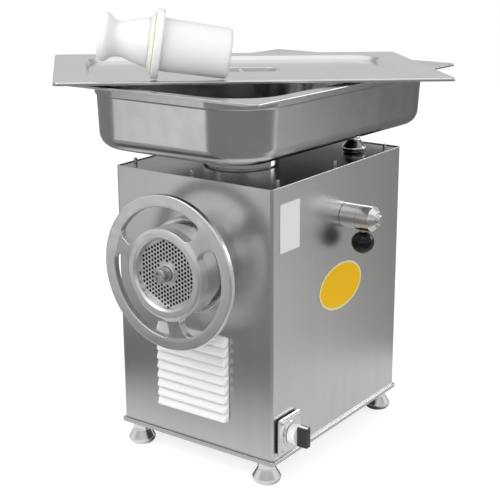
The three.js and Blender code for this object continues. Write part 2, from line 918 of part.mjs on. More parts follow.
function knife() {
  const hub = bar(knife_hub_radius, knife_front_y, knife_back_y, small_sides);
  const half = knife_arm_width / 2;
  const arm = outline([
    [0, -half],
    [knife_radius - knife_sweep / 2, -half - knife_sweep],
    [knife_radius - knife_sweep / 2, half - knife_sweep],
    [knife_hub_radius, half],
    [0, half],
  ]);
  const arms = around(knife_arms).map((turn) => {
    return pushed(arm, knife_front_y, knife_back_y, 'y').rotate([0, turn, 0]);
  });
  const hole = square_bar(worm_square + 2 * seat, knife_front_y - overrun, knife_back_y + overrun);
  return piece('knife', cut(unite([hub, ...arms]), hole), 0xc0c1c1, 0.25, 1);
}

// A helical flight: a tapered section swept round the core, from the front to the back
function worm_flight(from, to) {
  const turns = (to - from) / worm_pitch;
  const steps = Math.round(turns * worm_steps);
  const embed = worm_core_radius - worm_core_taper;
  const positions = [];
  const index = [];
  for (let i = 0; i <= steps; i++) {
    const angle = (2 * Math.PI * turns * i) / steps;
    const place = from + ((to - from) * i) / steps;
    const section = [
      [embed, -worm_flight_root / 2],
      [worm_radius, -worm_flight_tip / 2],
      [worm_radius, worm_flight_tip / 2],
      [embed, worm_flight_root / 2],
    ];
    for (const [radius, along] of section) {
      positions.push(radius * Math.cos(angle), place + along, radius * Math.sin(angle));
    }
    if (i === steps) continue;
    for (let k = 0; k < 4; k++) {
      const [a, b] = [4 * i + k, 4 * i + ((k + 1) % 4)];
      index.push(a, b, b + 4, a, b + 4, a + 4);
    }
  }
  const end = 4 * steps;
  index.push(0, 2, 1, 0, 3, 2, end, end + 1, end + 2, end, end + 2, end + 3);
  const geometry = new THREE.BufferGeometry();
  geometry.setAttribute('position', new THREE.Float32BufferAttribute(positions, 3));
  geometry.setIndex(index);
  return solid(geometry);
}

function worm() {
  const collar_back = barrel_rear_y - 2 * seat - washer_thickness;
  const collar_front = collar_back - worm_flight_root / 2;
  const tang_front = drive_front_y - seat;
  const dome = worm_stud_radius * stud_dome_share;
  const profile = [
    [0, -worm_stud_reach + stud_cup_depth],
    [stud_cup_radius, -worm_stud_reach + stud_cup_depth],
    [stud_cup_radius, -worm_stud_reach],
    [worm_stud_radius - dome / 4, -worm_stud_reach + dome / 2],
    [worm_stud_radius, -worm_stud_reach + dome * 2],
    [worm_stud_radius, worm_front_y],
    [worm_core_radius - worm_core_taper / 2, worm_front_y],
    [worm_core_radius, worm_front_y + worm_pitch],
    [worm_core_radius, collar_front],
    [worm_collar_radius, collar_front],
    [worm_collar_radius, collar_back],
    [worm_shank_radius, collar_back],
    [worm_shank_radius, tang_front],
    [0, tang_front],
  ];
  const core = turned(profile, small_sides);
  const knife_seat = square_bar(worm_square, knife_front_y, worm_front_y + seat);
  const tang = square_bar(worm_tang, tang_front - worm_tang_overlap, tang_front + worm_tang_length);
  const flight_ends = [worm_front_y + worm_flight_root / 2, collar_front - worm_flight_root / 2];
  const stud_bar = block(
    [-stud_cup_radius - seat, stud_cup_radius + seat],
    [-worm_stud_reach + seat, -worm_stud_reach + stud_cup_depth + seat],
    [-stud_bar_width / 2, stud_bar_width / 2],
  );
  const pieces = [core, stud_bar, knife_seat, tang.intersect(tang_limit()), worm_flight(...flight_ends)];
  return piece('worm', unite(pieces), 0xbcbdbb, 0.3, 1);
}

// The tang is kept to the round of the shank where it leaves the barrel wall
function tang_limit() {
  const tang_front = drive_front_y - seat;
  const wide = bar(drive_nose_radius, tang_front, tang_front + worm_tang_length, medium_sides);
  return wide.add(bar(worm_shank_radius, tang_front - worm_tang_overlap, tang_front + seat, small_sides));
}

function thrust_washer() {
  const back = barrel_rear_y - seat;
  const span = [back - washer_thickness, back];
  const bore = worm_shank_radius + running_gap;
  const body = bar(worm_collar_radius, ...span, medium_sides, 'y', [0, 0, 0], bore);
  return piece('thrust_washer', body, 0xd8cfae, 0.6, 0);
}

// The outline of one slot between two spokes of the ring, with round corners
function ring_slot(middle) {
  const outer = ring_radius - ring_rim_width - ring_fillet;
  const inner = ring_hub_radius + ring_fillet;
  const corner = ring_slot_corner;
  const half = ring_slot_angle / 2;
  const [start, end] = [middle - half, middle + half].map(THREE.MathUtils.degToRad);
  const outer_turn = Math.asin(corner / (outer - corner));
  const inner_turn = Math.asin(corner / (inner + corner));
  const shape = new THREE.Shape();
  const corner_arc = (radius, place, from, to) => {
    shape.absarc(radius * Math.cos(place), radius * Math.sin(place), corner, from, to, false);
  };
  shape.absarc(0, 0, outer, start + outer_turn, end - outer_turn, false);
  corner_arc(outer - corner, end - outer_turn, end - outer_turn, end + Math.PI / 2);
  corner_arc(inner + corner, end - inner_turn, end + Math.PI / 2, end - inner_turn + Math.PI);
  shape.absarc(0, 0, inner, end - inner_turn, start + inner_turn, true);
  corner_arc(inner + corner, start + inner_turn, start + inner_turn + Math.PI, start + 1.5 * Math.PI);
  corner_arc(outer - corner, start + outer_turn, start - Math.PI / 2, start + outer_turn);
  const span = [-ring_reach - overrun, -ring_reach + ring_skirt_length + overrun];
  return pushed(shape, ...span, 'y', ring_slot_steps);
}

function ring_handwheel() {
  const skirt_back = -ring_reach + ring_skirt_length;
  const bore = clear_bore(barrel_thread_radius, round_sides);
  const rim_inner = ring_radius - ring_rim_width;
  const rim_front = -ring_rim_reach;
  const rim_back = rim_front + ring_rim_depth;
  const web_back = rim_front + ring_web_depth;
  const profile = [
    [ring_opening_radius, lip_back_y],
    [ring_opening_radius, -ring_reach + ring_bevel],
    [ring_opening_radius + ring_bevel, -ring_reach],
    [ring_hub_radius - ring_bevel, -ring_reach],
    [ring_hub_radius + ring_bevel, -ring_reach + ring_bevel],
    [rim_inner - ring_bevel, rim_front + seat],
    [rim_inner + ring_bevel, rim_front],
    [ring_radius - ring_rim_round, rim_front],
    [ring_radius, rim_front + ring_rim_round],
    [ring_radius, rim_back - ring_rim_round],
    [ring_radius - ring_rim_round, rim_back],
    [rim_inner, rim_back],
    [rim_inner, web_back],
    [ring_hub_radius, web_back],
    [ring_hub_radius, skirt_back],
    [bore, skirt_back],
    [bore, lip_back_y],
    [ring_opening_radius, lip_back_y],
  ];
  const slots = around(ring_slots).map((turn) => ring_slot(ring_first_slot + turn));
  return piece('ring_handwheel', cut(turned(profile, round_sides), ...slots), 0xc8c9c7, 0.42, 0.9);
}

// Drive, round the head axis

function drive_shaft() {
  const nose_back = drive_front_y + drive_nose_length;
  const end = drive_pulley_y + pulley_width + overrun;
  const journal_end = housing_back_y + overrun;
  const profile = [
    [0, drive_front_y],
    [drive_nose_radius, drive_front_y],
    [drive_nose_radius, nose_back],
    [journal_radius, nose_back],
    [journal_radius, journal_end],
    [pulley_seat_radius, journal_end],
    [pulley_seat_radius, end],
    [0, end],
  ];
  const socket_end = drive_front_y + worm_tang_length + worm_tang_play;
  const socket = square_bar(worm_tang + 2 * running_gap, drive_front_y - overrun, socket_end);
  return piece('drive_shaft', cut(turned(profile, inner_sides), socket), 0x9fa1a3, 0.35, 1);
}

function housing_bearing_spans() {
  const front = housing_front_y + seal_width + 3 * seat;
  const back = housing_back_y - seat;
  return { front: [front, front + bearing_width], rear: [back - bearing_width, back] };
}

function drive_housing() {
  const socket_front = rear_wall_back_y + seat;
  const socket_bore = spigot_radius + seat;
  const bore = bearing_radius + running_gap;
  const spans = housing_bearing_spans();
  const shoulder = bearing_radius - overrun;
  const nose_clear = drive_nose_radius + running_gap * 2;
  const profile = [
    [socket_bore, socket_front],
    [clamp_socket_radius, socket_front],
    [clamp_socket_radius, spigot_back_y],
    [housing_radius, housing_front_y + overrun],
    [housing_radius, housing_back_y],
    [bore, housing_back_y],
    [bore, spans.rear[0] - seat],
    [shoulder, spans.rear[0] - seat],
    [shoulder, spans.front[1] + seat],
    [bore, spans.front[1] + seat],
    [bore, housing_front_y],
    [nose_clear, housing_front_y],
    [nose_clear, spigot_back_y + seat],
    [socket_bore, spigot_back_y + seat],
    [socket_bore, socket_front],
  ];
  const round = turned(profile, medium_sides);
  const ear_low = spigot_radius + overrun / 2;
  const ear_high = clamp_rise + clamp_bolt_radius + 2 * overrun;
  const half_ear = clamp_ear_width / 2;
  const ears = block([-half_ear, half_ear], [socket_front, spigot_back_y], [ear_low, ear_high]);
  const split = block(
    [-clamp_split / 2, clamp_split / 2],
    [socket_front - overrun, spigot_back_y + seat],
    [0, ear_high + overrun],
  );
  const bolt_centre = [0, clamp_y, clamp_rise];
  const bolt_span = [-clamp_ear_width, clamp_ear_width];
  const bolt = bar(clamp_bolt_radius + running_gap, ...bolt_span, medium_sides, 'x', bolt_centre);
  const foot_span = [housing_front_y + overrun, housing_back_y];
  const half_foot = housing_foot_width / 2;
  const foot_top = -housing_foot_drop + housing_foot_thickness;
  const foot = block([-half_foot, half_foot], foot_span, [-housing_foot_drop, foot_top]);
  const half_web = housing_radius / 2;
  const web = block([-half_web, half_web], foot_span, [-housing_foot_drop, -housing_radius + overrun]);
  const spot_face = bar(
    clamp_bolt_head_radius + running_gap,
    -clamp_socket_radius,
    -clamp_ear_width / 2,
    small_sides,
    'x',
    bolt_centre,
  );
  const bores = bar(bore, housing_front_y, housing_back_y + overrun, medium_sides);
  const pedestal = cut(unite([foot, web]), bores);
  const body = cut(unite([round, ears, pedestal]), split, bolt, spot_face);
  return piece('drive_housing', body, 0x6f7a80, 0.55, 0.4);
}

function drive_bearings() {
  return Object.entries(housing_bearing_spans()).map(([place, span]) => {
    const inner = clear_bore(journal_radius, inner_sides, seat);
    const body = bar(bearing_radius, ...span, inner_sides, 'y', [0, 0, 0], inner);
    return piece('drive_bearing_' + place, body, 0xa8aaac, 0.3, 1);
  });
}

function shaft_seal() {
  const front = housing_front_y + seat;
  const inner = clear_bore(journal_radius, inner_sides, seat);
  const body = bar(bearing_radius, front, front + seal_width, inner_sides, 'y', [0, 0, 0], inner);
  return piece('shaft_seal', body, 0x222222, 0.7, 0);
}

// A grooved pulley with a hub; its groove takes the belt
function pulley_profile(radius, hub_radius, bore) {
  const middle = pulley_middle_y;
  const half_groove = belt_width / 2 + seat;
  const half = pulley_width / 2;
  const floor_radius = radius - groove_depth;
  return [
    [bore, middle - half],
    [hub_radius, middle - half],
    [hub_radius, middle - drive_web / 2],
    [floor_radius - groove_depth / 2, middle - drive_web / 2],
    [floor_radius - groove_depth / 2, middle - half],
    [radius, middle - half],
    [radius, middle - half_groove],
    [floor_radius, middle - half_groove],
    [floor_radius, middle + half_groove],
    [radius, middle + half_groove],
    [radius, middle + half],
    [floor_radius - groove_depth / 2, middle + half],
    [floor_radius - groove_depth / 2, middle + drive_web / 2],
    [hub_radius, middle + drive_web / 2],
    [hub_radius, middle + half],
    [bore, middle + half],
    [bore, middle - half],
  ];
}

function drive_pulley() {
  const bore = pulley_seat_radius + seat;
  const wheel = turned(pulley_profile(drive_pulley_radius, drive_hub_radius, bore), inner_sides);
  const hole_circle = (drive_hub_radius + drive_pulley_radius - 2 * groove_depth) / 2;
  const hole_radius = (hole_circle - drive_hub_radius) * drive_hole_share;
  const span = [drive_pulley_y - overrun, drive_pulley_y + pulley_width + overrun];
  const holes = around(drive_holes).map((turn) => {
    const angle = THREE.MathUtils.degToRad(turn);
    const centre = [hole_circle * Math.cos(angle), 0, hole_circle * Math.sin(angle)];
    return bar(hole_radius, ...span, screw_sides, 'y', centre);
  });
  return piece('drive_pulley', cut(wheel, ...holes), 0x70767a, 0.5, 0.7);
}

function motor_pulley() {
  const bore = motor_shaft_radius + seat;
  const half = pulley_width / 2;
  const half_groove = belt_width / 2 + seat;
  const floor_radius = motor_pulley_radius - groove_depth;
  const profile = [
    [bore, pulley_middle_y - half],
    [motor_pulley_radius, pulley_middle_y - half],
    [motor_pulley_radius, pulley_middle_y - half_groove],
    [floor_radius, pulley_middle_y - half_groove],
    [floor_radius, pulley_middle_y + half_groove],
    [motor_pulley_radius, pulley_middle_y + half_groove],
    [motor_pulley_radius, pulley_middle_y + half],
    [bore, pulley_middle_y + half],
    [bore, pulley_middle_y - half],
  ];
  return piece('motor_pulley', turned(profile, inner_sides), 0x70767a, 0.5, 0.7);
}

// The belt loop: the outline round both pulleys, less the same outline inside it
function drive_belt() {
  const span = head_axis_height - motor_axis_height;
  const loop = (large, small) => {
    const lean = -Math.asin((large - small) / span);
    const shape = new THREE.Shape();
    shape.absarc(0, 0, large, lean, Math.PI - lean, false);
    shape.absarc(0, -span, small, Math.PI - lean, 2 * Math.PI + lean, false);
    return shape;
  };
  const ride = groove_depth * belt_ride_share;
  const radii = [drive_pulley_radius, motor_pulley_radius];
  const [large_in, small_in] = radii.map((radius) => radius - groove_depth + ride);
  const [y0, y1] = [pulley_middle_y - belt_width / 2, pulley_middle_y + belt_width / 2];
  const outer = pushed(loop(large_in + belt_thickness, small_in + belt_thickness), y0, y1, 'y', belt_steps);
  const inner = pushed(loop(large_in, small_in), y0 - overrun, y1 + overrun, 'y', belt_steps);
  return piece('drive_belt', cut(outer, inner), 0x1b1b1c, 0.8, 0);
}

// Motor, round its own axis

function motor_housing() {
  const back = motor_front_y + motor_length;
  const bore = motor_shaft_radius + running_gap;
  const shoulder = motor_bell_length / 2;
  const profile = [
    [bore, motor_front_y],
    [motor_bell_radius, motor_front_y],
    [motor_radius - shoulder, motor_front_y + shoulder],
    [motor_radius - shoulder, motor_front_y + motor_bell_length],
    [motor_radius, motor_front_y + motor_bell_length],
    [motor_radius, back - motor_bell_length],
    [motor_radius - shoulder, back - motor_bell_length],
    [motor_radius - shoulder, back - shoulder],
    [motor_bell_radius, back],
    [bore, back],
    [bore, motor_front_y],
  ];
  const half = motor_foot_width / 2;
  const middle = motor_front_y + motor_length / 2;
  const floor = tray_top + seat - motor_axis_z;
  const foot_span = [middle - motor_foot_length / 2, middle + motor_foot_length / 2];
  const cradle = block([-half, half], foot_span, [floor, -motor_radius * motor_cradle_share]);
  const bore_cut = bar(bore, motor_front_y, back, inner_sides);
  return piece('motor_housing', cut(turned(profile, inner_sides).add(cradle), bore_cut), 0x3f5d74, 0.5, 0.3);
}

function motor_shaft() {
  const front = motor_front_y - fan_width - 2 * overrun;
  const body = bar(motor_shaft_radius, front, drive_pulley_y + pulley_width + overrun, inner_sides);
  return piece('motor_shaft', body, 0x9fa1a3, 0.35, 1);
}

function motor_fan() {
  const back = motor_front_y - overrun;
  const front = back - fan_width;
  const bore = motor_shaft_radius + seat;
  const hub = bar(fan_hub_radius, front, back, inner_sides, 'y', [0, 0, 0], bore);
  const disc = bar(fan_radius, back - fan_blade, back, inner_sides, 'y', [0, 0, 0], fan_hub_radius - seat);
  const blades = around(fan_blades).map((turn) => {
    const reach = [fan_hub_radius - seat, fan_radius - fan_blade];
    const blade = block(reach, [front, back - seat], [0, fan_blade]);
    return blade.rotate([0, turn, 0]);
  });
  return piece('motor_fan', unite([hub, disc, ...blades]), 0x2a2a2b, 0.6, 0);
}

// The bent bracket that carries the drive housing over the motor
function inner_frame() {
  const top = head_axis_z - housing_foot_drop - seat;
  const outer = half_width - cabinet_sheet - overrun;
  const span = [housing_front_y, housing_back_y];
  const low = tray_top + seat;
  const table = block([-outer, outer], span, [top - frame_thickness, top]);
  const well = half_width - cabinet_ledge - frame_thickness - seat;
  const legs = [-1, 1].map((side) => {
    const leg = [side * well, side * (well + frame_thickness)].sort((a, b) => a - b);
    return block(leg, span, [low, top]);
  });
  const keep = block([-well - frame_thickness, well + frame_thickness], span, [low, top]);
  return piece('inner_frame', unite([table.intersect(keep), ...legs]), 0x6a6e71, 0.55, 0.8);
}

// Clamp lever: a split socket is drawn tight by a bolt that the ball lever turns

function clamp_sleeve() {
  const span = [clamp_sleeve_start, clamp_sleeve_start + clamp_sleeve_length];
  const inner = clamp_bolt_radius + running_gap;
  const body = bar(clamp_boss_radius, ...span, medium_sides, 'x', [0, 0, 0], inner);
  return piece('clamp_sleeve', body, 0xd0d1d1, 0.12, 1);
}

function clamp_bolt() {
  const head = -clamp_ear_width / 2 - seat;
  const profile = [
    [0, head - clamp_bolt_head_length],
    [clamp_bolt_head_radius, head - clamp_bolt_head_length],
    [clamp_bolt_head_radius, head],
    [clamp_bolt_radius, head],
    [clamp_bolt_radius, clamp_hub_end - seat],
    [0, clamp_hub_end - seat],
  ];
  return piece('clamp_bolt', turned(profile, small_sides, 'x'), 0xb0b2b3, 0.3, 1);
}

function clamp_hub() {
  const bore = clamp_bolt_radius + seat;
  const end = clamp_hub_end + clamp_cap_length;
  const profile = [
    [0, clamp_hub_end],
    [bore, clamp_hub_end],
    [bore, clamp_hub_start],
    [clamp_boss_radius, clamp_hub_start],
    [clamp_boss_radius, clamp_cone_start],
    [clamp_cone_radius + clamp_edge, clamp_hub_end - clamp_edge],
    [clamp_cone_radius, clamp_hub_end],
    [clamp_cap_radius, clamp_hub_end],
    [clamp_cap_radius, end - clamp_cap_length / 2],
    [clamp_cap_radius * clamp_cap_end_share, end],
    [0, end],
  ];
  const place = [clamp_hub_start + lever_offset, 0, 0];
  const socket = bar(lever_radius + seat, -clamp_boss_radius - overrun, -lever_top, small_sides, 'z', place);
  return piece('clamp_hub', cut(turned(profile, medium_sides, 'x'), socket), 0xd6d7d7, 0.12, 1);
}

function clamp_lever() {
  const span = [-ball_drop - ball_socket_depth + seat, -lever_top - seat];
  const body = bar(lever_radius, ...span, small_sides, 'z');
  const lever = piece('clamp_lever', body, 0xd6d7d7, 0.15, 1);
  lever.position.x = clamp_hub_start + lever_offset;
  return lever;
}

function ball_knob() {
  const points = [];
  const steps = small_sides / 2;
  for (let i = 0; i <= steps; i++) {
    const angle = -Math.PI / 2 + (Math.PI * i) / steps;
    points.push([i % steps === 0 ? 0 : ball_radius * Math.cos(angle), ball_radius * Math.sin(angle)]);
  }
  const socket = bar(lever_radius + seat, -ball_socket_depth, ball_radius + overrun, small_sides, 'z');
  const knob = piece('ball_knob', cut(turned(points, small_sides, 'z'), socket), 0x0d0d0e, 0.18, 0);
  knob.position.set(clamp_hub_start + lever_offset, 0, -ball_drop);
  return knob;
}

// Switch, round its own axis along X

function switch_square(from, to, size) {
  return pushed(rounded(size, size, switch_corner), from, to, 'x', fold_steps);
}

function switch_pieces() {
  const spindle_cut = bar(
    switch_spindle_radius + running_gap,
    half_width - switch_box_depth,
    switch_knob_start,
    small_sides,
    'x',
  );
  const gasket_size = switch_size - 2 * switch_gasket_inset;
  const gasket = switch_square(gasket_start, gasket_start + switch_gasket_thickness, gasket_size);
  const collar = bar(
    switch_collar_radius,
    switch_plate_start,
    switch_face + switch_collar_height,
    medium_sides,
    'x',
  );
  const screw_place = switch_size / 2 - switch_screw_inset;
  const screw_span = [switch_plate_start, switch_face + switch_screw_height];
  const screws = [[1, 1], [-1, 1], [-1, -1], [1, -1]].map(([y, z]) => {
    return bar(switch_screw_radius, ...screw_span, screw_sides, 'x', [0, y * screw_place, z * screw_place]);
  });
  const square = switch_square(switch_plate_start, switch_face, switch_size);
  const front_plate = unite([square, collar, ...screws]);
  const inside = half_width - cabinet_sheet - seat;
  const half = switch_box / 2;
  const box = block([inside - switch_box_depth, inside], [-half, half], [-half, half]);
  const bar_start = switch_knob_start + switch_knob_length;
  const bar_end = bar_start + switch_bar_reach;
  const disc = bar(switch_knob_radius, switch_knob_start, bar_start, medium_sides, 'x');
  const spindle = bar(
    switch_spindle_radius,
    half_width - switch_box_depth + overrun,
    switch_knob_start + seat,
    small_sides,
    'x',
  );
  const core_width = switch_bar_width / 2 - switch_cover_wall - seat;
  const core = block(
    [bar_start - seat, bar_end - switch_cover_wall - seat],
    [-core_width, core_width],
    [-switch_bar_length / 2, switch_bar_length / 2],
  );
  const cover_outer = block(
    [bar_start + seat, bar_end],
    [-switch_bar_width / 2, switch_bar_width / 2],
    [-switch_bar_length / 2, switch_bar_length / 2],
  );
  const cover_inner = block(
    [bar_start - overrun, bar_end - switch_cover_wall],
    [-core_width - seat, core_width + seat],
    [-switch_bar_length, switch_bar_length],
  );
  return [
    piece('switch_gasket', cut(gasket, spindle_cut), 0x57585a, 0.7, 0),
    piece('switch_plate', cut(front_plate, spindle_cut), 0xc3c4c3, 0.28, 0.9),
    piece('switch_body', cut(box, spindle_cut), 0x303133, 0.6, 0),
    piece('switch_knob', unite([disc, spindle, core]), 0xf3f3f1, 0.4, 0),
    piece('switch_grip_cover', cut(cover_outer, cover_inner), 0x28292a, 0.45, 0),
  ];
}

// Stickers: a plain label and a plain oval
function stickers() {
  const span = [half_width + seat, half_width + seat + sticker_thickness];
  const label_place = [label_y, cabinet_bottom + label_z];
  const label_shape = rounded(label_width, label_height, label_corner, label_place);
  const label = pushed(label_shape, ...span, 'x', plain_steps);
  const oval_shape = new THREE.Shape();
  oval_shape.absellipse(
    oval_y,
    cabinet_bottom + oval_z,
    oval_length / 2,
    oval_height / 2,
    0,
    2 * Math.PI,
  );
  const oval = pushed(oval_shape, ...span, 'x', medium_sides);
  return [
    piece('blank_label', label, 0xe9e9e6, 0.5, 0),
    piece('oval_sticker', oval, 0xe6b422, 0.4, 0),
  ];
}

// Feed pan, with its rim plane at z = 0 and its centre at the origin

// The levels of the pan's body, shrunk by the sheet for the inside
function pan_levels(inset) {
  const [x, y] = [pan_body_width / 2 - inset, pan_body_length / 2 - inset];
  const corner = pan_body_corner - inset;
  const bottom = -pan_depth + inset;
  const round = pan_bottom_round - inset;
  const step = pan_step;
  const top = inset > 0 ? overrun : 0;
  const drop = pan_step_drop - inset;
  const rings = [];
  const wall_end = bottom + round;
  for (let i = pan_round_steps; i >= 1; i--) {
    const angle = (Math.PI / 2) * (i / pan_round_steps);
    const [away, down] = [round * (1 - Math.cos(angle)), round * Math.sin(angle)];
    const inward = pan_draft + step + away;
    rings.push(level(x - inward, y - inward, corner - step - away, wall_end - down));
  }
  rings.push(level(x - pan_draft - step, y - pan_draft - step, corner - step, wall_end));
  rings.push(level(x - step, y - step, corner - step, -drop - step));
  rings.push(level(x, y, corner, -drop));
  rings.push(level(x, y, corner, top));
  return rings;
}

function feed_pan() {
  const rim_shape = rounded(pan_width, pan_length, pan_rim_corner);
  const lip_shape = rounded(
    pan_width - 2 * pan_sheet,
    pan_length - 2 * pan_sheet,
    pan_rim_corner - pan_sheet,
  );
  const rim = pushed(rim_shape, -pan_sheet, 0, 'z', fold_steps);
  const lip_outer = pushed(rim_shape, -pan_lip, 0, 'z', fold_steps);
  const lip_inner = pushed(lip_shape, -pan_lip - overrun, -pan_sheet / 2, 'z', fold_steps);
  const hole_span = [-pan_depth - overrun, -pan_depth + overrun];
  const hole = bar(spout_hole_radius, ...hole_span, round_sides, 'z', [-pan_offset_x, spout_y, 0]);
  const sheet = unite([rim, cut(lip_outer, lip_inner), lofted(pan_levels(0))]);
  return piece('feed_pan', cut(sheet, lofted(pan_levels(pan_sheet)), hole), 0xa5a5a3, 0.2, 1);
}

// The spout under the pan slips over the throat tube and stands on the top plate
function pan_spout() {
  const inner = throat_radius + 2 * running_gap;
  const outer = inner + spout_wall;
  const top = -pan_depth - seat;
  const rear_edge = spout_y + outer;
  const drop = top_plate_top + seat - pan_rim_z + rear_edge * Math.sin(pan_tilt_angle);
  const bottom = drop / Math.cos(pan_tilt_angle);
  const flare = spout_flare;
  const [flare_out, flare_down] = spout_flare_shares.map((share) => share * flare);
  const profile = [
    [inner, bottom],
    [outer, bottom],
    [outer, top - flare],
    [outer + flare_out, top - flare_down],
    [outer + flare, top - seat],
    [outer + flare, top],
    [inner, top],
    [inner, bottom],
  ];
  const place = [-pan_offset_x, spout_y, 0];
  return piece('pan_spout', turned(profile, round_sides, 'z', place), 0xb9baba, 0.12, 1);
}

function pan_posts() {
  const rear_edge = post_y + post_neck_radius - pan_centre_y;
  const [slope, cosine] = [Math.tan(pan_tilt_angle), Math.cos(pan_tilt_angle)];
  const pan_under = pan_rim_z - rear_edge * slope - pan_depth / cosine;
  const height = pan_under - top_plate_top - 2 * seat;
  return ['left', 'right'].map((side, i) => {
    const bell = bell_profile(height, post_bell_radius, post_neck_radius);
    const body = turned([...bell, [0, height]], small_sides, 'z');
    const post = piece('pan_post_' + side, body, 0xdadcdd, 0.2, 0.95);
    post.position.set((2 * i - 1) * post_x, post_y, top_plate_top + seat);
    return post;
  });
}

// Lid: a flat border with a turned-down edge, a shallow recess and a dish with a grip bar
function lid_level(half_x, half_y, inset, z) {
  return level(half_x - inset, half_y - inset, lid_recess_corner - inset, z);
}

function lid_dish(inset, from, to) {
  const [half_x, half_y] = [lid_dish_length / 2 - inset, lid_dish_width / 2 - inset];
  const slope = lid_recess_slope;
  return lofted([
    level(half_x - slope, half_y - slope, half_y - slope, from),
    level(half_x, half_y, half_y, to),
  ]);
}

function pan_lid() {
  const top = lid_recess + lid_sheet;
  const slope = lid_recess_slope;
  const [x, y] = [lid_length / 2 - lid_border, lid_width / 2 - lid_border];
  const edge_shape = rounded(lid_length, lid_width, lid_corner);
  const inner_shape = rounded(lid_length - 2 * lid_sheet, lid_width - 2 * lid_sheet, lid_corner - lid_sheet);
  const border = pushed(edge_shape, lid_recess, top, 'z', fold_steps);
  const edge_outer = pushed(edge_shape, top - lid_lip, top, 'z', fold_steps);
  const edge_inner = pushed(inner_shape, top - lid_lip - overrun, top - lid_sheet / 2, 'z', fold_steps);
  const under = lofted([
    lid_level(x, y, slope, 0),
    lid_level(x, y, -lid_sheet, lid_recess + lid_sheet / 2),
  ]);
  const upper = lofted([
    lid_level(x, y, slope + lid_sheet / 2, lid_sheet),
    lid_level(x, y, 0, top),
    lid_level(x, y, 0, top + overrun),
  ]);
  const dish_outer = lid_dish(0, -lid_dish_depth, lid_sheet / 2);
  const dish_inner = lid_dish(lid_sheet, -lid_dish_depth + lid_sheet, lid_sheet + seat);
  const body = cut(unite([border, cut(edge_outer, edge_inner), under]), upper).add(dish_outer);
  return piece('pan_lid', cut(body, dish_inner), 0xb1b2b0, 0.22, 1);
}

// The grip bar crosses the dish just below the lid's recess
function lid_grip() {
  const slope_share = (lid_dish_depth - lid_sheet - lid_grip_drop - lid_grip_radius) / lid_dish_depth;
  const half = lid_dish_width / 2 - lid_sheet - seat - lid_recess_slope * (1 - slope_share);
  const body = bar(lid_grip_radius, -half, half, small_sides, 'y', [0, 0, -lid_grip_drop]);
  return piece('lid_grip', body, 0xd2d3d2, 0.15, 1);
}

// Pusher, along its own X axis: the pressing end lies at x = 0, the handle runs towards -X

function pusher_body() {
  const round = pusher_round;
  const profile = [
    [0, collar_back],
    [pusher_collar_radius - round / 2, collar_back],
    [pusher_collar_radius, collar_back + round / 2],
    [pusher_collar_radius, collar_front - round / 2],
    [pusher_collar_radius - round / 2, collar_front],
    [pusher_root_radius + round / 2, collar_front],
    [pusher_root_radius, collar_front + round / 2],
    [pusher_end_radius + round / 4, -round],
    [pusher_end_radius - round * pusher_end_share, -round * pusher_end_share],
    [pusher_end_radius - round, 0],
    [0, 0],
  ];
  return piece('pusher_body', turned(profile, medium_sides, 'x'), 0xf4f4f2, 0.45, 0);
}

// The joint ring slopes from the collar down to the root of the handle
function pusher_ring() {
  const front = pusher_ring_back + pusher_ring_width;
  const profile = [
    [0, pusher_ring_back],
    [pusher_handle_radius + seat, pusher_ring_back],
    [pusher_collar_radius - pusher_round, front],
    [0, front],
  ];
  return piece('pusher_ring', turned(profile, medium_sides, 'x'), 0xe4dfc6, 0.5, 0);
}

// The handle's outline runs from the wide root through the waist to the round knob
function pusher_handle() {
  const along = (share) => pusher_handle_front - share * pusher_handle_length;
  const [shoulder_share, neck_share, knob_share, edge_share] = handle_shares;
  const curve = new THREE.SplineCurve([
    new THREE.Vector2(pusher_handle_radius, along(0)),
    new THREE.Vector2(pusher_shoulder_radius, along(shoulder_share)),
    new THREE.Vector2(pusher_neck_radius, along(neck_share)),
    new THREE.Vector2(pusher_knob_radius, along(knob_share)),
    new THREE.Vector2(pusher_knob_radius - pusher_round / 2, along(edge_share)),
    new THREE.Vector2(pusher_knob_radius - pusher_round, along(1)),
  ]);
  const points = curve.getPoints(handle_steps).map((point) => [point.x, point.y]);
  const profile = [[0, along(0)], ...points, [0, along(1)]];
  return piece('pusher_handle', turned(profile.reverse(), medium_sides, 'x'), 0xf4f4f2, 0.42, 0);
}

// Assembly

function group(pieces, [x, y, z] = [0, 0, 0]) {
  const made = new THREE.Group();
  made.add(...pieces);
  made.position.set(x, y, z);
  return made;
}

const machine = new THREE.Group();
machine.add(
  base_tray(),
  ...feet(),
  cabinet_shell(),
  top_plate(),
  ...top_screws(),
  throat_tube(),
  vent_grille(),
  rear_cover(),
  cable_gland(),
  inner_frame(),
  ...pan_posts(),
  ...stickers(),
);

machine.add(group(
  [head_barrel(), plate_key(), mincing_plate(), plate_bushing(), knife(), worm(), thrust_washer()],
  [0, 0, head_axis_z],
));
machine.add(group([ring_handwheel()], [0, 0, head_axis_z]));
machine.add(group(
  [drive_shaft(), drive_housing(), ...drive_bearings(), shaft_seal(), drive_pulley(), drive_belt()],
  [0, 0, head_axis_z],
));
machine.add(group([motor_housing(), motor_shaft(), motor_fan(), motor_pulley()], [0, 0, motor_axis_z]));
machine.add(group(
  [clamp_sleeve(), clamp_bolt(), clamp_hub(), clamp_lever(), ball_knob()],
  [0, clamp_y, clamp_z],
));
machine.add(group(switch_pieces(), [0, switch_y, switch_z]));

const pusher = group([pusher_body(), pusher_ring(), pusher_handle()]);
const lean = Math.atan2(pusher_collar_radius - pusher_end_radius, pusher_body_length);
pusher.rotation.set(0, lean, THREE.MathUtils.degToRad(pusher_yaw), 'ZYX');
const end_height = pusher_end_radius * Math.cos(lean) + 2 * seat;
pusher.position.set(pusher_x + pusher_body_length, pusher_y, lid_recess + lid_sheet + end_height);

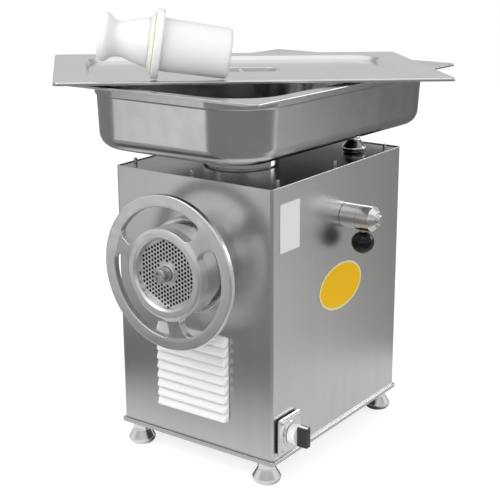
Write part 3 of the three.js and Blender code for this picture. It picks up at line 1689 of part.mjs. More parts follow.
const lid = group([pan_lid(), lid_grip(), pusher], [lid_shift_x, lid_shift_y, seat]);
lid.rotation.z = THREE.MathUtils.degToRad(lid_yaw);

const pan = group([feed_pan(), pan_spout(), lid], [pan_offset_x, pan_centre_y, pan_rim_z]);
pan.rotation.x = -pan_tilt_angle;
machine.add(pan);

// The origin is the middle of the space that the machine takes, on the floor
const space = new THREE.Box3().setFromObject(machine);
machine.position.set(-(space.min.x + space.max.x) / 2, -(space.min.y + space.max.y) / 2, -space.min.z);
const grinder = new THREE.Group();
grinder.add(machine);

export default grinder;
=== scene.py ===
import json
from collections import namedtuple
from math import asin, atan2, ceil, cos, degrees, hypot, pi, radians, sin, tan

import bmesh
import bpy
from mathutils import Matrix, Vector


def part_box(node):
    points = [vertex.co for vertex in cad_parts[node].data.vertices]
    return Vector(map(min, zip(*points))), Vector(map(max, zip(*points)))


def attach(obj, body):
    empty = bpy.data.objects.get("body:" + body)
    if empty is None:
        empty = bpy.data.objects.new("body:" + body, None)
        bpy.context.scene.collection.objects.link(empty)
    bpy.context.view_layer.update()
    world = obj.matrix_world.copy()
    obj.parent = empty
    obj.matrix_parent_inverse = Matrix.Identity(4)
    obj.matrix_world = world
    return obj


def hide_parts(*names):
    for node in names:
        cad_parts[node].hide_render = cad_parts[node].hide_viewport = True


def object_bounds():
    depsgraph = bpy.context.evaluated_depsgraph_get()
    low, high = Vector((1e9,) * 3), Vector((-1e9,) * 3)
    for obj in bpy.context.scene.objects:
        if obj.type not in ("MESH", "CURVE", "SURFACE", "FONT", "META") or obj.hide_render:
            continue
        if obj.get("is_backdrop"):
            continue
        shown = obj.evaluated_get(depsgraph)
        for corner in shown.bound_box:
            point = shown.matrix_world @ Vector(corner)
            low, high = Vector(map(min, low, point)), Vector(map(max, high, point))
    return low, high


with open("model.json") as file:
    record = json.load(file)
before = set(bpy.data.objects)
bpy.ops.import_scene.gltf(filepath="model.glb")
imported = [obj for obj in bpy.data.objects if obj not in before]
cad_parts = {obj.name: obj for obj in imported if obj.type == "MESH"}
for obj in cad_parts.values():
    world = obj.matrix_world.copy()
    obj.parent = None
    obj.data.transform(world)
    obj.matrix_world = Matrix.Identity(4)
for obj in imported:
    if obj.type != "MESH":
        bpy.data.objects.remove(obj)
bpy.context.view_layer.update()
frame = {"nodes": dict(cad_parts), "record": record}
scene = bpy.context.scene

MM = 0.001
SEAT = 0.3
TINY = 1e-6
TURN = 2 * pi
QUARTER = pi / 2
CORNERS = ((1, 1), (-1, 1), (-1, -1), (1, -1))
AXES = {"x": (1, 2, 0), "y": (0, 2, 1), "z": (0, 1, 2)}

record = frame["record"]
body_of = {n: b for b, nodes in record["behaviour"]["bodies"].items() for n in nodes}
slot_of = {part["node"]: part["material_slot"] for part in record["subparts"]}

# The cabinet's frame: X from its middle, Y from its front panel, Z from the floor
shell_low, shell_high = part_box("cabinet_shell")
ORIGIN = Vector(((shell_low.x + shell_high.x) / 2, shell_low.y, 0)) / MM
Box = namedtuple("Box", "low high half middle")


def box_of(node):
    """A node's box in the cabinet's frame, with its half size and its middle."""
    low, high = [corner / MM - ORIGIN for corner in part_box(node)]
    return Box(low, high, (high - low) / 2, (high + low) / 2)


# Sizes and places that more than one piece uses
shell_box = box_of("cabinet_shell")
HALF_WIDTH = shell_box.half.x
DEPTH = shell_box.high.y
BOTTOM, TOP = shell_box.low.z, shell_box.high.z
HEAD_Z = BOTTOM + 258
BARREL_RADIUS = 59
BARREL_GAP = 0.5
THROAT_Y = 115
THROAT_RADIUS = 50
VENT_WIDTH = 122
VENT_HEIGHT = 123
VENT_BASE = BOTTOM + 42
VENT_MARGIN = 9
PLATE_RADIUS = 49
PLATE_FRONT, PLATE_BACK = [corner.y for corner in box_of("mincing_plate")[:2]]
CLAMP_Y = 180
CLAMP_Z = HEAD_Z + 49
CLAMP_RADIUS = 17.5
SWITCH_Y = 35
SWITCH_Z = BOTTOM + 32
PAN_X = -2
PAN_Y = DEPTH / 2 + 16
PAN_Z = TOP + 117
PAN_TILT = radians(-1.1)
LID_PLACE = (-38, -11, SEAT)
LID_YAW = radians(43.8)
COLLAR_RADIUS = 45
COLLAR_FRONT, COLLAR_BACK = -89, -99.5
PUSHER_NOSE = 32.6
PUSHER_PLACE = (-37, -149, 40.09)
PUSHER_YAW = radians(-4)
PUSHER_LEAN = atan2(COLLAR_RADIUS - PUSHER_NOSE, -COLLAR_FRONT)


def moved(x, y, z):
    return Matrix.Translation(Vector((x, y, z)) * MM)


cabinet_place = moved(*ORIGIN)
head_place = cabinet_place @ moved(0, 0, HEAD_Z)
clamp_place = cabinet_place @ moved(0, CLAMP_Y, CLAMP_Z)
switch_place = cabinet_place @ moved(0, SWITCH_Y, SWITCH_Z)
pan_place = cabinet_place @ moved(PAN_X, PAN_Y, PAN_Z) @ Matrix.Rotation(PAN_TILT, 4, "X")
lid_place = pan_place @ moved(*LID_PLACE) @ Matrix.Rotation(LID_YAW, 4, "Z")
pusher_place = (
    lid_place
    @ moved(*PUSHER_PLACE)
    @ Matrix.Rotation(PUSHER_YAW, 4, "Z")
    @ Matrix.Rotation(PUSHER_LEAN, 4, "Y")
)


# Outlines and profiles

LEAST_BEND = 0.02
FILLET_SHARE = 0.49
LEAST_CORNER = 0.05
MITRE_LIMIT = 0.35
SHARP = radians(38)


def filleted(points, closed=False, step=14):
    """The polyline through (u, v, fillet) points, with an arc at each corner that has a fillet."""
    out = []
    count = len(points)
    for i, point in enumerate(points):
        corner = Vector(point[:2])
        radius = point[2] if len(point) > 2 else 0
        if radius == 0 or (not closed and i in (0, count - 1)):
            out.append(corner)
            continue
        before = Vector(points[i - 1][:2]) - corner
        after = Vector(points[(i + 1) % count][:2]) - corner
        angle = before.angle(after)
        if angle > pi - LEAST_BEND:
            out.append(corner)
            continue
        longest = FILLET_SHARE * min(before.length, after.length)
        back = min(radius / tan(angle / 2), longest)
        radius = back * tan(angle / 2)
        before.normalize()
        after.normalize()
        centre = corner + (before + after).normalized() * radius / sin(angle / 2)
        start, end = corner + before * back - centre, corner + after * back - centre
        total = start.angle(end)
        steps = max(2, ceil(degrees(total) / step))
        for k in range(steps + 1):
            t = k / steps
            mixed = start * sin((1 - t) * total) + end * sin(t * total)
            out.append(centre + mixed / sin(total))
    return out


def ellipse(half_u, half_v, centre=(0, 0), sides=96):
    angles = [TURN * i / sides for i in range(sides)]
    return [
        Vector((centre[0] + half_u * cos(a), centre[1] + half_v * sin(a)))
        for a in angles
    ]


def circle(radius, centre=(0, 0), sides=48):
    return ellipse(radius, radius, centre, sides)


def polar(radius, angle):
    return Vector((radius * cos(angle), radius * sin(angle)))


def arc(radius, centre, first, last, steps):
    """Points along an arc, its two ends among them."""
    angles = [first + (last - first) * k / steps for k in range(steps + 1)]
    return [Vector(centre) + polar(radius, a) for a in angles]


def rounded(half_u, half_v, corner, centre=(0, 0), steps=8):
    """A rectangle with round corners, counter-clockwise, with as many points at any size."""
    corner = min(max(corner, LEAST_CORNER), half_u, half_v)
    out = []
    for number, (u, v) in enumerate(CORNERS):
        middle = Vector(centre) + Vector((u * (half_u - corner), v * (half_v - corner)))
        out += arc(corner, middle, number * QUARTER, (number + 1) * QUARTER, steps)
    return out


def standing(axis, u, v, w):
    """The point (u, v) of an outline at the place w along an axis."""
    return Vector({"x": (w, u, v), "y": (u, w, v), "z": (u, v, w)}[axis])


def inset(loop, by):
    """The loop moved to its left, which is inwards where it runs counter-clockwise."""
    out = []
    count = len(loop)
    for i, point in enumerate(loop):
        ahead = (loop[(i + 1) % count] - point).normalized()
        behind = (point - loop[i - 1]).normalized()
        left = Vector((-(ahead.y + behind.y), ahead.x + behind.x)).normalized()
        mitre = max(MITRE_LIMIT, left.dot(Vector((-ahead.y, ahead.x))))
        out.append(point + left * by / mitre)
    return out


def resampled(points, count):
    """The same polyline with a given number of points, evenly spaced along it."""
    lengths = [0.0]
    for a, b in zip(points, points[1:]):
        lengths.append(lengths[-1] + (b - a).length)
    out = []
    for k in range(count):
        want = lengths[-1] * k / (count - 1)
        i = max(j for j in range(len(points) - 1) if lengths[j] <= want + TINY)
        span = max(lengths[i + 1] - lengths[i], TINY)
        out.append(points[i].lerp(points[i + 1], min(1, (want - lengths[i]) / span)))
    return out


def through(points, steps):
    """A smooth curve through the points."""
    out = []
    for i in range(len(points) - 1):
        p0 = points[max(i - 1, 0)]
        p1, p2 = points[i], points[i + 1]
        p3 = points[min(i + 2, len(points) - 1)]
        for k in range(steps):
            t = k / steps
            a, b = 2 * p1, p2 - p0
            c, d = 2 * p0 - 5 * p1 + 4 * p2 - p3, 3 * p1 - p0 - 3 * p2 + p3
            out.append((a + b * t + c * t * t + d * t**3) / 2)
    return out + [points[-1]]


# Shapes are pairs of vertices and faces


def skin(rings, closed=False, caps=False):
    """Faces from each ring of points to the next; a ring of one point is a pole."""
    verts, starts, faces = [], [], []
    for ring in rings:
        starts.append(len(verts))
        verts.extend(ring)
    pairs = list(zip(range(len(rings) - 1), range(1, len(rings))))
    if closed:
        pairs.append((len(rings) - 1, 0))
    for a, b in pairs:
        count = max(len(rings[a]), len(rings[b]))
        for k in range(count):
            n = (k + 1) % count
            low = [starts[a]] if len(rings[a]) == 1 else [starts[a] + k, starts[a] + n]
            high = [starts[b]] if len(rings[b]) == 1 else [starts[b] + n, starts[b] + k]
            faces.append(low + high)
    if caps:
        for end in (0, len(rings) - 1):
            faces.append([starts[end] + k for k in range(len(rings[end]))])
    return verts, faces


def lathe(profile, axis, sides=96, closed=False, step=14):
    """A turned shape: the profile's points are (radius, place, fillet)."""
    rings = []
    for radius, place in filleted(profile, closed, step):
        if radius < TINY:
            rings.append([standing(axis, 0, 0, place)])
        else:
            rings.append([standing(axis, u, v, place) for u, v in circle(radius, sides=sides)])
    return skin(rings, closed)


def drum(radius, start, end, axis, sides=96, edges=(0, 0)):
    """A cylinder between two places on its axis, with a fillet at each end."""
    profile = [(0, start), (radius, start, edges[0]), (radius, end, edges[1]), (0, end)]
    return lathe(profile, axis, sides)


def pipe(inner, outer, start, end, axis, sides=96, edges=(0, 0), inner_edge=0):
    """A tube between two places on its axis, with a fillet at each outer end."""
    profile = [(inner, start), (outer, start, edges[0]), (outer, end, edges[1])]
    return lathe(profile + [(inner, end, inner_edge)], axis, sides, closed=True)


def joined(*shapes):
    verts, faces = [], []
    for more_verts, more_faces in shapes:
        start = len(verts)
        verts = verts + list(more_verts)
        faces = faces + [[start + i for i in face] for face in more_faces]
    return verts, faces


def at(shape, place):
    """The shape moved by (x, y, z)."""
    return [Vector(place) + Vector(v) for v in shape[0]], shape[1]


def panel(outline, holes, low, high, axis, bevel=0.3, steps=3):
    """A plate with holes, from low to high along an axis, with rounded edges."""
    loops = [outline] + [list(reversed(hole)) for hole in holes]
    levels = []
    for k in range(steps + 1):
        a = k / steps * QUARTER
        levels.append((bevel * (1 - sin(a)), low + bevel * (1 - cos(a))))
    levels += [(by, low + high - place) for by, place in reversed(levels)]
    shape = [], []
    for loop in loops:
        edge = [[standing(axis, u, v, w) for u, v in inset(loop, by)] for by, w in levels]
        shape = joined(shape, skin(edge))
    for place in (low, high):
        mesh = bmesh.new()
        for loop in loops:
            points = [mesh.verts.new((u, v, 0)) for u, v in inset(loop, bevel)]
            for k, point in enumerate(points):
                mesh.edges.new((points[k - 1], point))
        bmesh.ops.triangle_fill(mesh, edges=mesh.edges[:], use_beauty=True)
        mesh.verts.index_update()
        cap_verts = [standing(axis, v.co.x, v.co.y, place) for v in mesh.verts]
        cap_faces = [[v.index for v in f.verts] for f in mesh.faces]
        mesh.free()
        shape = joined(shape, (cap_verts, cap_faces))
    return shape


def sheet(box, corner, axis, holes=(), bevel=0.3, steps=3):
    """A plate that fills a node's box, with round corners."""
    u, v, w = AXES[axis]
    outline = rounded(box.half[u], box.half[v], corner, (box.middle[u], box.middle[v]))
    return panel(outline, holes, box.low[w], box.high[w], axis, bevel, steps)


def about(half, middle=0):
    return middle - half, middle + half


def block(*spans, bevel=0.3, axis="z"):
    """A box with rounded edges, from its (low, high) spans along X, Y and Z."""
    u, v, w = [spans[i] for i in AXES[axis]]
    outline = rounded((u[1] - u[0]) / 2, (v[1] - v[0]) / 2, bevel, (sum(u) / 2, sum(v) / 2), 3)
    return panel(outline, [], *w, axis, bevel)


def added(name, data):
    """A new object in the scene."""
    obj = bpy.data.objects.new(name, data)
    scene.collection.objects.link(obj)
    return obj


def body(name, shape, finish, place=cabinet_place):
    """A mesh object in a named finish, whose origin is the frame's origin."""
    mesh = bpy.data.meshes.new(name)
    mesh.from_pydata([place @ (Vector(v) * MM) for v in shape[0]], [], shape[1])
    work = bmesh.new()
    work.from_mesh(mesh)
    bmesh.ops.remove_doubles(work, verts=work.verts, dist=TINY)
    bmesh.ops.recalc_face_normals(work, faces=work.faces)
    work.to_mesh(mesh)
    work.free()
    mesh.materials.append(finishes[finish])
    return added(name, mesh)


def carve(obj, shapes, place):
    """Cuts shapes out of an object."""
    cutters = []
    for number, shape in enumerate(shapes):
        cutter = body(f"{obj.name}_cutter_{number}", shape, "bore_dark", place)
        cutters.append(cutter)
        modifier = obj.modifiers.new("cut", "BOOLEAN")
        modifier.object = cutter
        modifier.operation = "DIFFERENCE"
        modifier.solver = "EXACT"
    bpy.context.view_layer.update()
    graph = bpy.context.evaluated_depsgraph_get()
    mesh = bpy.data.meshes.new_from_object(obj.evaluated_get(graph))
    obj.modifiers.clear()
    obj.data = mesh
    for cutter in cutters:
        bpy.data.objects.remove(cutter)


def smooth(mesh):
    """Smooth shading that keeps the sharper edges."""
    mesh.polygons.foreach_set("use_smooth", [True] * len(mesh.polygons))
    mesh.set_sharp_from_angle(angle=SHARP)


# Finishes

NOISE_ROUGHNESS = 0.55


def add_node(tree, kind, inputs, **settings):
    """A shader node; each input is a value or the output that feeds it."""
    node = tree.nodes.new("ShaderNode" + kind)
    for key, value in settings.items():
        setattr(node, key, value)
    for key, value in inputs.items():
        if isinstance(value, bpy.types.NodeSocket):
            tree.links.new(value, node.inputs[key])
        else:
            node.inputs[key].default_value = value
    return node


class Finish:
    """A principled material with procedural variation."""

    def __init__(self, name, color, metallic, roughness, uniform={}):
        self.material = bpy.data.materials.new(name)
        self.material.use_nodes = True
        self.tree = self.material.node_tree
        self.shader = self.tree.nodes["Principled BSDF"]
        self.color = tuple(color)
        self.shader.inputs["Base Color"].default_value = (*self.color, 1)
        for key, value in {"Metallic": metallic, "Roughness": roughness, **uniform}.items():
            self.shader.inputs[key].default_value = value
        self.coordinates = self.node("TexCoord", {}).outputs["Object"]

    def node(self, kind, inputs, **settings):
        return add_node(self.tree, kind, inputs, **settings)

    def noise(self, scale, detail, stretch=(1, 1, 1)):
        vector = self.node("Mapping", {"Vector": self.coordinates, "Scale": stretch})
        inputs = {"Vector": vector.outputs[0], "Scale": scale, "Detail": detail}
        inputs["Roughness"] = NOISE_ROUGHNESS
        return self.node("TexNoise", inputs).outputs["Fac"]

    def ranged(self, value, low, high, start=0.3, end=0.7, **settings):
        """Goes from low to high as a value, most often a noise, goes from start to end."""
        inputs = {"Value": value, "From Min": start, "From Max": end}
        inputs.update({"To Min": low, "To Max": high})
        return self.node("MapRange", inputs, **settings).outputs[0]

    def tinted(self, value, other, share):
        """The base colour goes towards another colour where the value is high."""
        mix = self.node("Mix", {"Factor": self.ranged(value, 0, share)}, data_type="RGBA")
        source = self.shader.inputs["Base Color"]
        if source.links:
            self.tree.links.new(source.links[0].from_socket, mix.inputs["A"])
        else:
            mix.inputs["A"].default_value = (*self.color, 1)
        mix.inputs["B"].default_value = (*other, 1)
        self.tree.links.new(mix.outputs["Result"], source)

    def rougher(self, value, low, high):
        self.tree.links.new(self.ranged(value, low, high), self.shader.inputs["Roughness"])

    def bumped(self, value, depth, strength=1.0):
        """The surface rises by a depth in millimetres where the value is high."""
        inputs = {"Height": value, "Distance": depth * MM, "Strength": strength}
        normal = self.shader.inputs["Normal"]
        if normal.links:
            inputs["Normal"] = normal.links[0].from_socket
        self.tree.links.new(self.node("Bump", inputs).outputs["Normal"], normal)


def grey(level, warm=0.012):
    return (level * (1 + warm), level, level * (1 - warm))


def brushed(name, level, roughness, along, wave):
    """Sheet metal, brushed along an axis, with slight waves, lighter bands along the brushing, and
    soft darker clouds painted in as cloudy reflections.
    """
    finish = Finish(name, grey(level), 1.0, roughness)
    streaks = finish.noise(1500, 2, [0.012 if axis == along else 1 for axis in "xyz"])
    bands = finish.noise(55, 3, [0.06 if axis == along else 1 for axis in "xyz"])
    finish.rougher(streaks, roughness * 0.94, roughness * 1.06)
    # Painted reflection: soft darker clouds in the colour stand for the sheet's cloudy
    # reflections.
    finish.tinted(finish.noise(9, 4), grey(level * 0.92), 0.7)
    finish.tinted(finish.noise(46, 4), grey(level * 0.93), 0.5)
    finish.tinted(bands, grey(level * 1.04), 0.4)
    finish.bumped(finish.noise(3.2, 1), wave)
    finish.bumped(streaks, 0.0006, 0.4)
    return finish.material


def polished(name, level, roughness, wave=0.02):
    """Bright metal with faint turning marks and smears."""
    finish = Finish(name, grey(level), 1.0, roughness)
    finish.rougher(finish.noise(38, 5), roughness * 0.85, roughness * 1.25)
    finish.tinted(finish.noise(13, 4), grey(level * 0.88), 0.6)
    finish.bumped(finish.noise(24, 2), wave)
    finish.bumped(finish.noise(1400, 2), 0.0015)
    return finish.material


def cast(name, level, roughness, grain):
    """Satin cast metal with a fine grain."""
    finish = Finish(name, grey(level), 1.0, roughness)
    finish.rougher(finish.noise(90, 4), roughness * 0.85, roughness * 1.2)
    finish.tinted(finish.noise(16, 5), grey(level * 0.88), 0.7)
    finish.bumped(finish.noise(650, 3), grain)
    return finish.material


def moulded(name, color, roughness, grain, uniform={}):
    """Plastic, rubber or paint with a faint grain."""
    finish = Finish(name, color, 0.0, roughness, uniform)
    finish.tinted(finish.noise(11, 4), [c * 0.93 for c in color], 0.6)
    finish.rougher(finish.noise(70, 4), roughness * 0.85, roughness * 1.15)
    finish.bumped(finish.noise(900, 2), grain)
    return finish.material


GRAIN, SMOOTH_GRAIN = 0.01, 0.004
MILKY = {"Subsurface Weight": 0.5, "Subsurface Scale": 0.012, "Subsurface Radius": (1, 1, 1)}
recipes = {
    # Level, roughness, the axis of the brushing and the waves' depth
    brushed: {
        "tray_aluminium": (0.6, 0.26, "x", 0.05),
        "brushed_panel": (0.7, 0.3, "z", 0.2),
    },
    # Level, roughness and the waves' depth
    polished: {
        "foot_aluminium": (0.92, 0.1),
        # The polished plate's very low level is painted shade and reflection: it darkens the top
        # plate for the pan's shadow and the dark reflection on it.
        "polished_plate": (0.11, 0.18, 0.05),
        "screw_steel": (0.8, 0.16),
        "polished_tube": (0.74, 0.1),
        "machined_steel": (0.56, 0.24),
        "plate_steel": (0.9, 0.5, 0.005),
        "skirt_bright": (0.92, 0.1, 0.005),
        "clamp_chrome": (0.74, 0.2),
        "switch_steel": (0.8, 0.17),
        "pan_steel": (0.66, 0.2, 0.06),
        "lid_steel": (0.7, 0.13, 0.04),
    },
    # Level, roughness and the grain's depth
    cast: {
        "head_casting": (0.68, 0.24, 0.008),
        "ring_aluminium": (0.9, 0.34, 0.012),
        "pulley_iron": (0.3, 0.5, 0.03),
    },
    # Colour, roughness, the grain's depth and other inputs
    moulded: {
        "vent_white": ((0.82, 0.82, 0.81), 0.4, GRAIN, {"Coat Weight": 0.25}),
        "black_plastic": ((0.022, 0.022, 0.024), 0.45, GRAIN),
        "grey_paint": ((0.2, 0.22, 0.24), 0.5, GRAIN),
        "label_white": ((0.9, 0.9, 0.89), 0.4, SMOOTH_GRAIN),
        "sticker_yellow": ((0.98, 0.56, 0), 0.45, SMOOTH_GRAIN, {"Specular IOR Level": 0.25}),
        "sticker_edge": ((0.82, 0.8, 0.42), 0.4, SMOOTH_GRAIN),
        "washer_plastic": ((0.7, 0.63, 0.42), 0.55, GRAIN),
        "black_rubber": ((0.018, 0.018, 0.018), 0.75, 0.02),
        "motor_paint": ((0.05, 0.11, 0.17), 0.45, 0.02),
        "fan_plastic": ((0.03, 0.03, 0.03), 0.5, GRAIN),
        "ball_black": ((0.003, 0.003, 0.004), 0.13, 0.002, {"Specular IOR Level": 0.35}),
        "switch_white": ((0.88, 0.88, 0.87), 0.35, GRAIN, {"Coat Weight": 0.2}),
        "cover_black": ((0.03, 0.03, 0.032), 0.4, GRAIN),
        "dot_grey": ((0.5, 0.5, 0.5), 0.4, GRAIN),
        # Painted shade: near-black for the shade inside bores and slots.
        "bore_dark": ((0.03, 0.03, 0.032), 0.5, GRAIN),
        "pusher_white": ((0.88, 0.88, 0.865), 0.34, SMOOTH_GRAIN, MILKY),
        "pusher_joint": ((0.85, 0.82, 0.7), 0.4, SMOOTH_GRAIN),
    },
}
finishes = {
    name: make(name, *levels) for make, rows in recipes.items() for name, levels in rows.items()
}

for node, obj in frame["nodes"].items():
    obj.data.materials.clear()
    obj.data.materials.append(finishes[slot_of[node]])
    smooth(obj.data)


def made(name, shape, node, place=cabinet_place, finish=None, cuts=(), stands=True):
    """A piece on its node's body, with shapes cut out of it, that stands for the node."""
    obj = body(name, shape, finish or slot_of[node], place)
    if cuts:
        carve(obj, cuts, place)
    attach(obj, body_of[node])
    if stands:
        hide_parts(node)
    smooth(obj.data)
    modifier = obj.modifiers.new("normals", "WEIGHTED_NORMAL")
    modifier.keep_sharp = True
    return obj


def trim(name, shape, node, finish, place=cabinet_place):
    """A piece that goes with its node, in a finish of its own."""
    return made(name, shape, node, place, finish, stands=False)


def refinished(obj, finish, wanted):
    """A second finish on the faces that are wanted, by radius and depth in the head's frame."""
    obj.data.materials.append(finishes[finish])
    for face in obj.data.polygons:
        x, y, z = face.center / MM - ORIGIN
        if wanted(hypot(x, z - HEAD_Z), y, face.normal):
            face.material_index = 1


# Base tray, feet and posts
FOOT_RADIUS, FOOT_NECK = 20, 12.5
POST_RADIUS, POST_NECK = 17.8, 8.5
SOLE, HEEL = 0.8, 0.95
BELLY, WAIST = 0.24, 0.66
STUD_RADIUS = 4
TRAY_CORNER, TRAY_EDGE = 5, 1.3
tray_box = box_of("base_tray")
made("tray_sheet", sheet(tray_box, TRAY_CORNER, "z", bevel=TRAY_EDGE, steps=4), "base_tray")


def bell(name, node, start, height, radius, neck, stud_top=None):
    """A turned bell under the middle of its node, with a stud above it where one has a top."""
    belly, waist = BELLY * height, WAIST * height
    profile = [
        (0, 0), (SOLE * radius, 0, 1.2), (HEEL * radius, belly / 2, 4), (radius, belly, 3),
        ((radius + neck) / 2, (belly + waist) / 2, 9), (neck, waist, 7), (neck, height),
    ]
    if stud_top is not None:
        profile += [(STUD_RADIUS, height), (STUD_RADIUS, stud_top)]
    profile.append((0, stud_top or height))
    middle = box_of(node).middle
    made(name, at(lathe(profile, "z", 72), (middle.x, middle.y, start)), node)


for corner in ("front_left", "front_right", "rear_left", "rear_right"):
    node = "foot_" + corner
    height = tray_box.low.z - SEAT
    bell("bell_" + corner, node, 0, height, FOOT_RADIUS, FOOT_NECK, box_of(node).high.z)

for side in ("left", "right"):
    node = "pan_post_" + side
    box = box_of(node)
    bell("post_" + side, node, box.low.z, 2 * box.half.z, POST_RADIUS, POST_NECK)

# Cabinet: a folded shell with a ledge at the top and a lip at the bottom
SHEET = 1.5
FOLD = 4
LEDGE = 22
LEDGE_Z = TOP - 3.5
REAR_LAP = 9
CUT = 9
shell_profile = [
    (0, BOTTOM), (0, TOP, 1.3), (SHEET, TOP, 0.2), (SHEET, LEDGE_Z), (LEDGE, LEDGE_Z),
    (LEDGE, LEDGE_Z - SHEET), (SHEET, LEDGE_Z - SHEET), (SHEET, BOTTOM + SHEET),
    (LEDGE, BOTTOM + SHEET), (LEDGE, BOTTOM),
]
shell_rings = []
for inward, height in filleted(shell_profile, closed=True):
    half_x, half_y = HALF_WIDTH - inward, DEPTH / 2 - inward
    loop = rounded(half_x, half_y, FOLD - inward, (0, DEPTH / 2), 10)
    shell_rings.append([standing("z", u, v, height) for u, v in loop])
rear = box_of("rear_cover")
vent_half = VENT_WIDTH / 2 - VENT_MARGIN
vent_z = VENT_BASE + VENT_HEIGHT / 2
vent_cut = block(about(vent_half), about(CUT), about(VENT_HEIGHT / 2 - VENT_MARGIN, vent_z))
rear_spans = [about(rear.half[i] - REAR_LAP, rear.middle[i]) for i in (0, 2)]
rear_cut = block(rear_spans[0], about(CUT, DEPTH), rear_spans[1])


def barrel_hole(start, end):
    """The barrel's way through the cabinet's pieces, with its gap."""
    return at(drum(BARREL_RADIUS + BARREL_GAP, start, end, "y"), (0, 0, HEAD_Z))


shell = skin(shell_rings, closed=True)
cuts = [barrel_hole(-CUT, CUT), vent_cut, rear_cut]
made("shell_sheet", shell, "cabinet_shell", cuts=cuts)

# Top plate and its screws
SCREW_HOLE = 2.1
SHANK_RADIUS, SCREW_RADIUS, SOCKET_RADIUS = 1.8, 2.6, 1.5
SHANK_LENGTH, SOCKET_DEPTH = 5.6, 2.2
TOP_CORNER, PLATE_EDGE = 2.5, 0.4
top_box = box_of("top_plate")
screw_boxes = [box_of(f"top_screw_{number}") for number in range(1, 9)]
holes = [circle(THROAT_RADIUS + SEAT, (0, THROAT_Y), 96)]
holes += [circle(SCREW_HOLE, box.middle[:2], 20) for box in screw_boxes]
made("top_sheet", sheet(top_box, TOP_CORNER, "z", holes, PLATE_EDGE), "top_plate")
for number, box in enumerate(screw_boxes, 1):
    low, high = box.low.z, box.high.z
    profile = [
        (0, low), (SHANK_RADIUS, low), (SHANK_RADIUS, low + SHANK_LENGTH),
        (SCREW_RADIUS, low + SHANK_LENGTH, 0.2), (SCREW_RADIUS, high, 0.9),
        (SOCKET_RADIUS, high, 0.15), (SOCKET_RADIUS, high - SOCKET_DEPTH),
        (0, high - SOCKET_DEPTH),
    ]
    screw = at(lathe(profile, "z", 28), (box.middle.x, box.middle.y, 0))
    made(f"screw_{number}", screw, f"top_screw_{number}")

# Throat tube, cut to sit on the barrel
THROAT_WALL = 3.5
SADDLE_FRONT, SADDLE_BACK = -20, 260
THROAT_EDGE = 1.2
ends = [corner.z for corner in box_of("throat_tube")[:2]]
inner = THROAT_RADIUS - THROAT_WALL
tube = pipe(inner, THROAT_RADIUS, *ends, "z", edges=(0, THROAT_EDGE), inner_edge=THROAT_EDGE)
saddle = barrel_hole(SADDLE_FRONT, SADDLE_BACK)
made("throat_sleeve", at(tube, (0, THROAT_Y, 0)), "throat_tube", cuts=[saddle])

# Vent grille: hoods pressed out of a slotted plate
VENT_COUNT = 9
VENT_SHEET = 2
VENT_REACH = 8.5
VENT_FACE = -SEAT - VENT_SHEET
VENT_SLOT_RISE = 2.7
HOOD_PITCH = VENT_HEIGHT / VENT_COUNT
HOOD_GAP = 0.4
HOOD_ROOT = 0.4
HOOD_WALL = 1.5
HOOD_ENDS = 5
HOOD_LIP = 3.6
HOOD_INNER_LIP = 3.2
END_DROP, END_RISE = 0.6, 1.6


def hood(low, high):
    """One hood: its section swells from nothing at the ends to its full reach."""
    half = VENT_WIDTH / 2
    turns = [k / 8 * QUARTER for k in range(9)]
    places = [(half - HOOD_ENDS * (1 - cos(a)), sin(a)) for a in turns]
    places = [(-x, swell) for x, swell in places] + list(reversed(places))
    rings = []
    for x, swell in places:
        reach = HOOD_ROOT + (VENT_REACH - HOOD_ROOT) * swell
        rise = high - END_DROP * (1 - swell)
        fall = low + END_RISE * (1 - swell)
        front = VENT_FACE - reach
        inner = front + min(HOOD_WALL, reach * 0.8)
        section = [
            (VENT_FACE + HOOD_ROOT, rise, 0.2), (VENT_FACE - reach * 0.08, rise - 0.1, 1.5),
            (front, fall + HOOD_LIP, 4.5), (front, fall, 0.5), (inner, fall, 0.4),
            (inner, fall + HOOD_INNER_LIP, 3.5),
            (VENT_FACE + HOOD_ROOT, rise - HOOD_WALL - 2.4),
        ]
        rings.append([Vector((x, y, z)) for y, z in filleted(section, step=12)])
    fewest = min(len(ring) for ring in rings)
    return skin([resampled(ring, fewest) for ring in rings], caps=True)


slots, hoods = [], []
for k in range(VENT_COUNT):
    low = VENT_BASE + HOOD_PITCH * k + HOOD_GAP
    hoods.append(hood(low, low + HOOD_PITCH - 2 * HOOD_GAP))
    middle = (0, low + VENT_SHEET + VENT_SLOT_RISE)
    slots.append(rounded(vent_half - VENT_SHEET, VENT_SLOT_RISE, 1.2, middle, 4))
vent_outline = rounded(VENT_WIDTH / 2 - 1, VENT_HEIGHT / 2 - HOOD_GAP, 4, (0, vent_z))
vent_plate = panel(vent_outline, slots, VENT_FACE, -SEAT, "y")
made("vent_hoods", joined(vent_plate, *hoods), "vent_grille")

# Rear cover with its slots and screws
REAR_SLOTS = 6
REAR_SLOT_HALF = (55, 2.5)
REAR_SLOT_START = rear.low.z + 34
REAR_SLOT_PITCH = 14
REAR_CORNER = 8
BUTTON_X = rear.half.x - 8
BUTTON_Z = rear.half.z - 9
slots = [
    rounded(*REAR_SLOT_HALF, 2.2, (0, REAR_SLOT_START + REAR_SLOT_PITCH * k), 5)
    for k in range(REAR_SLOTS)
]
made("rear_sheet", sheet(rear, REAR_CORNER, "y", slots, PLATE_EDGE), "rear_cover")
button = [(0, 0), (3.6, 0, 0.3), (3.6, 1, 0.8), (2.4, 2.2, 1.2), (1.4, 2.2), (1.4, 0.9), (0, 0.9)]
rear_screws = [
    at(lathe(button, "y", 32), (u * BUTTON_X, rear.high.y, rear.middle.z + v * BUTTON_Z))
    for u in (-1, 1)
    for v in (-1, 0, 1)
]
trim("rear_screws", joined(*rear_screws), "rear_cover", "screw_steel")

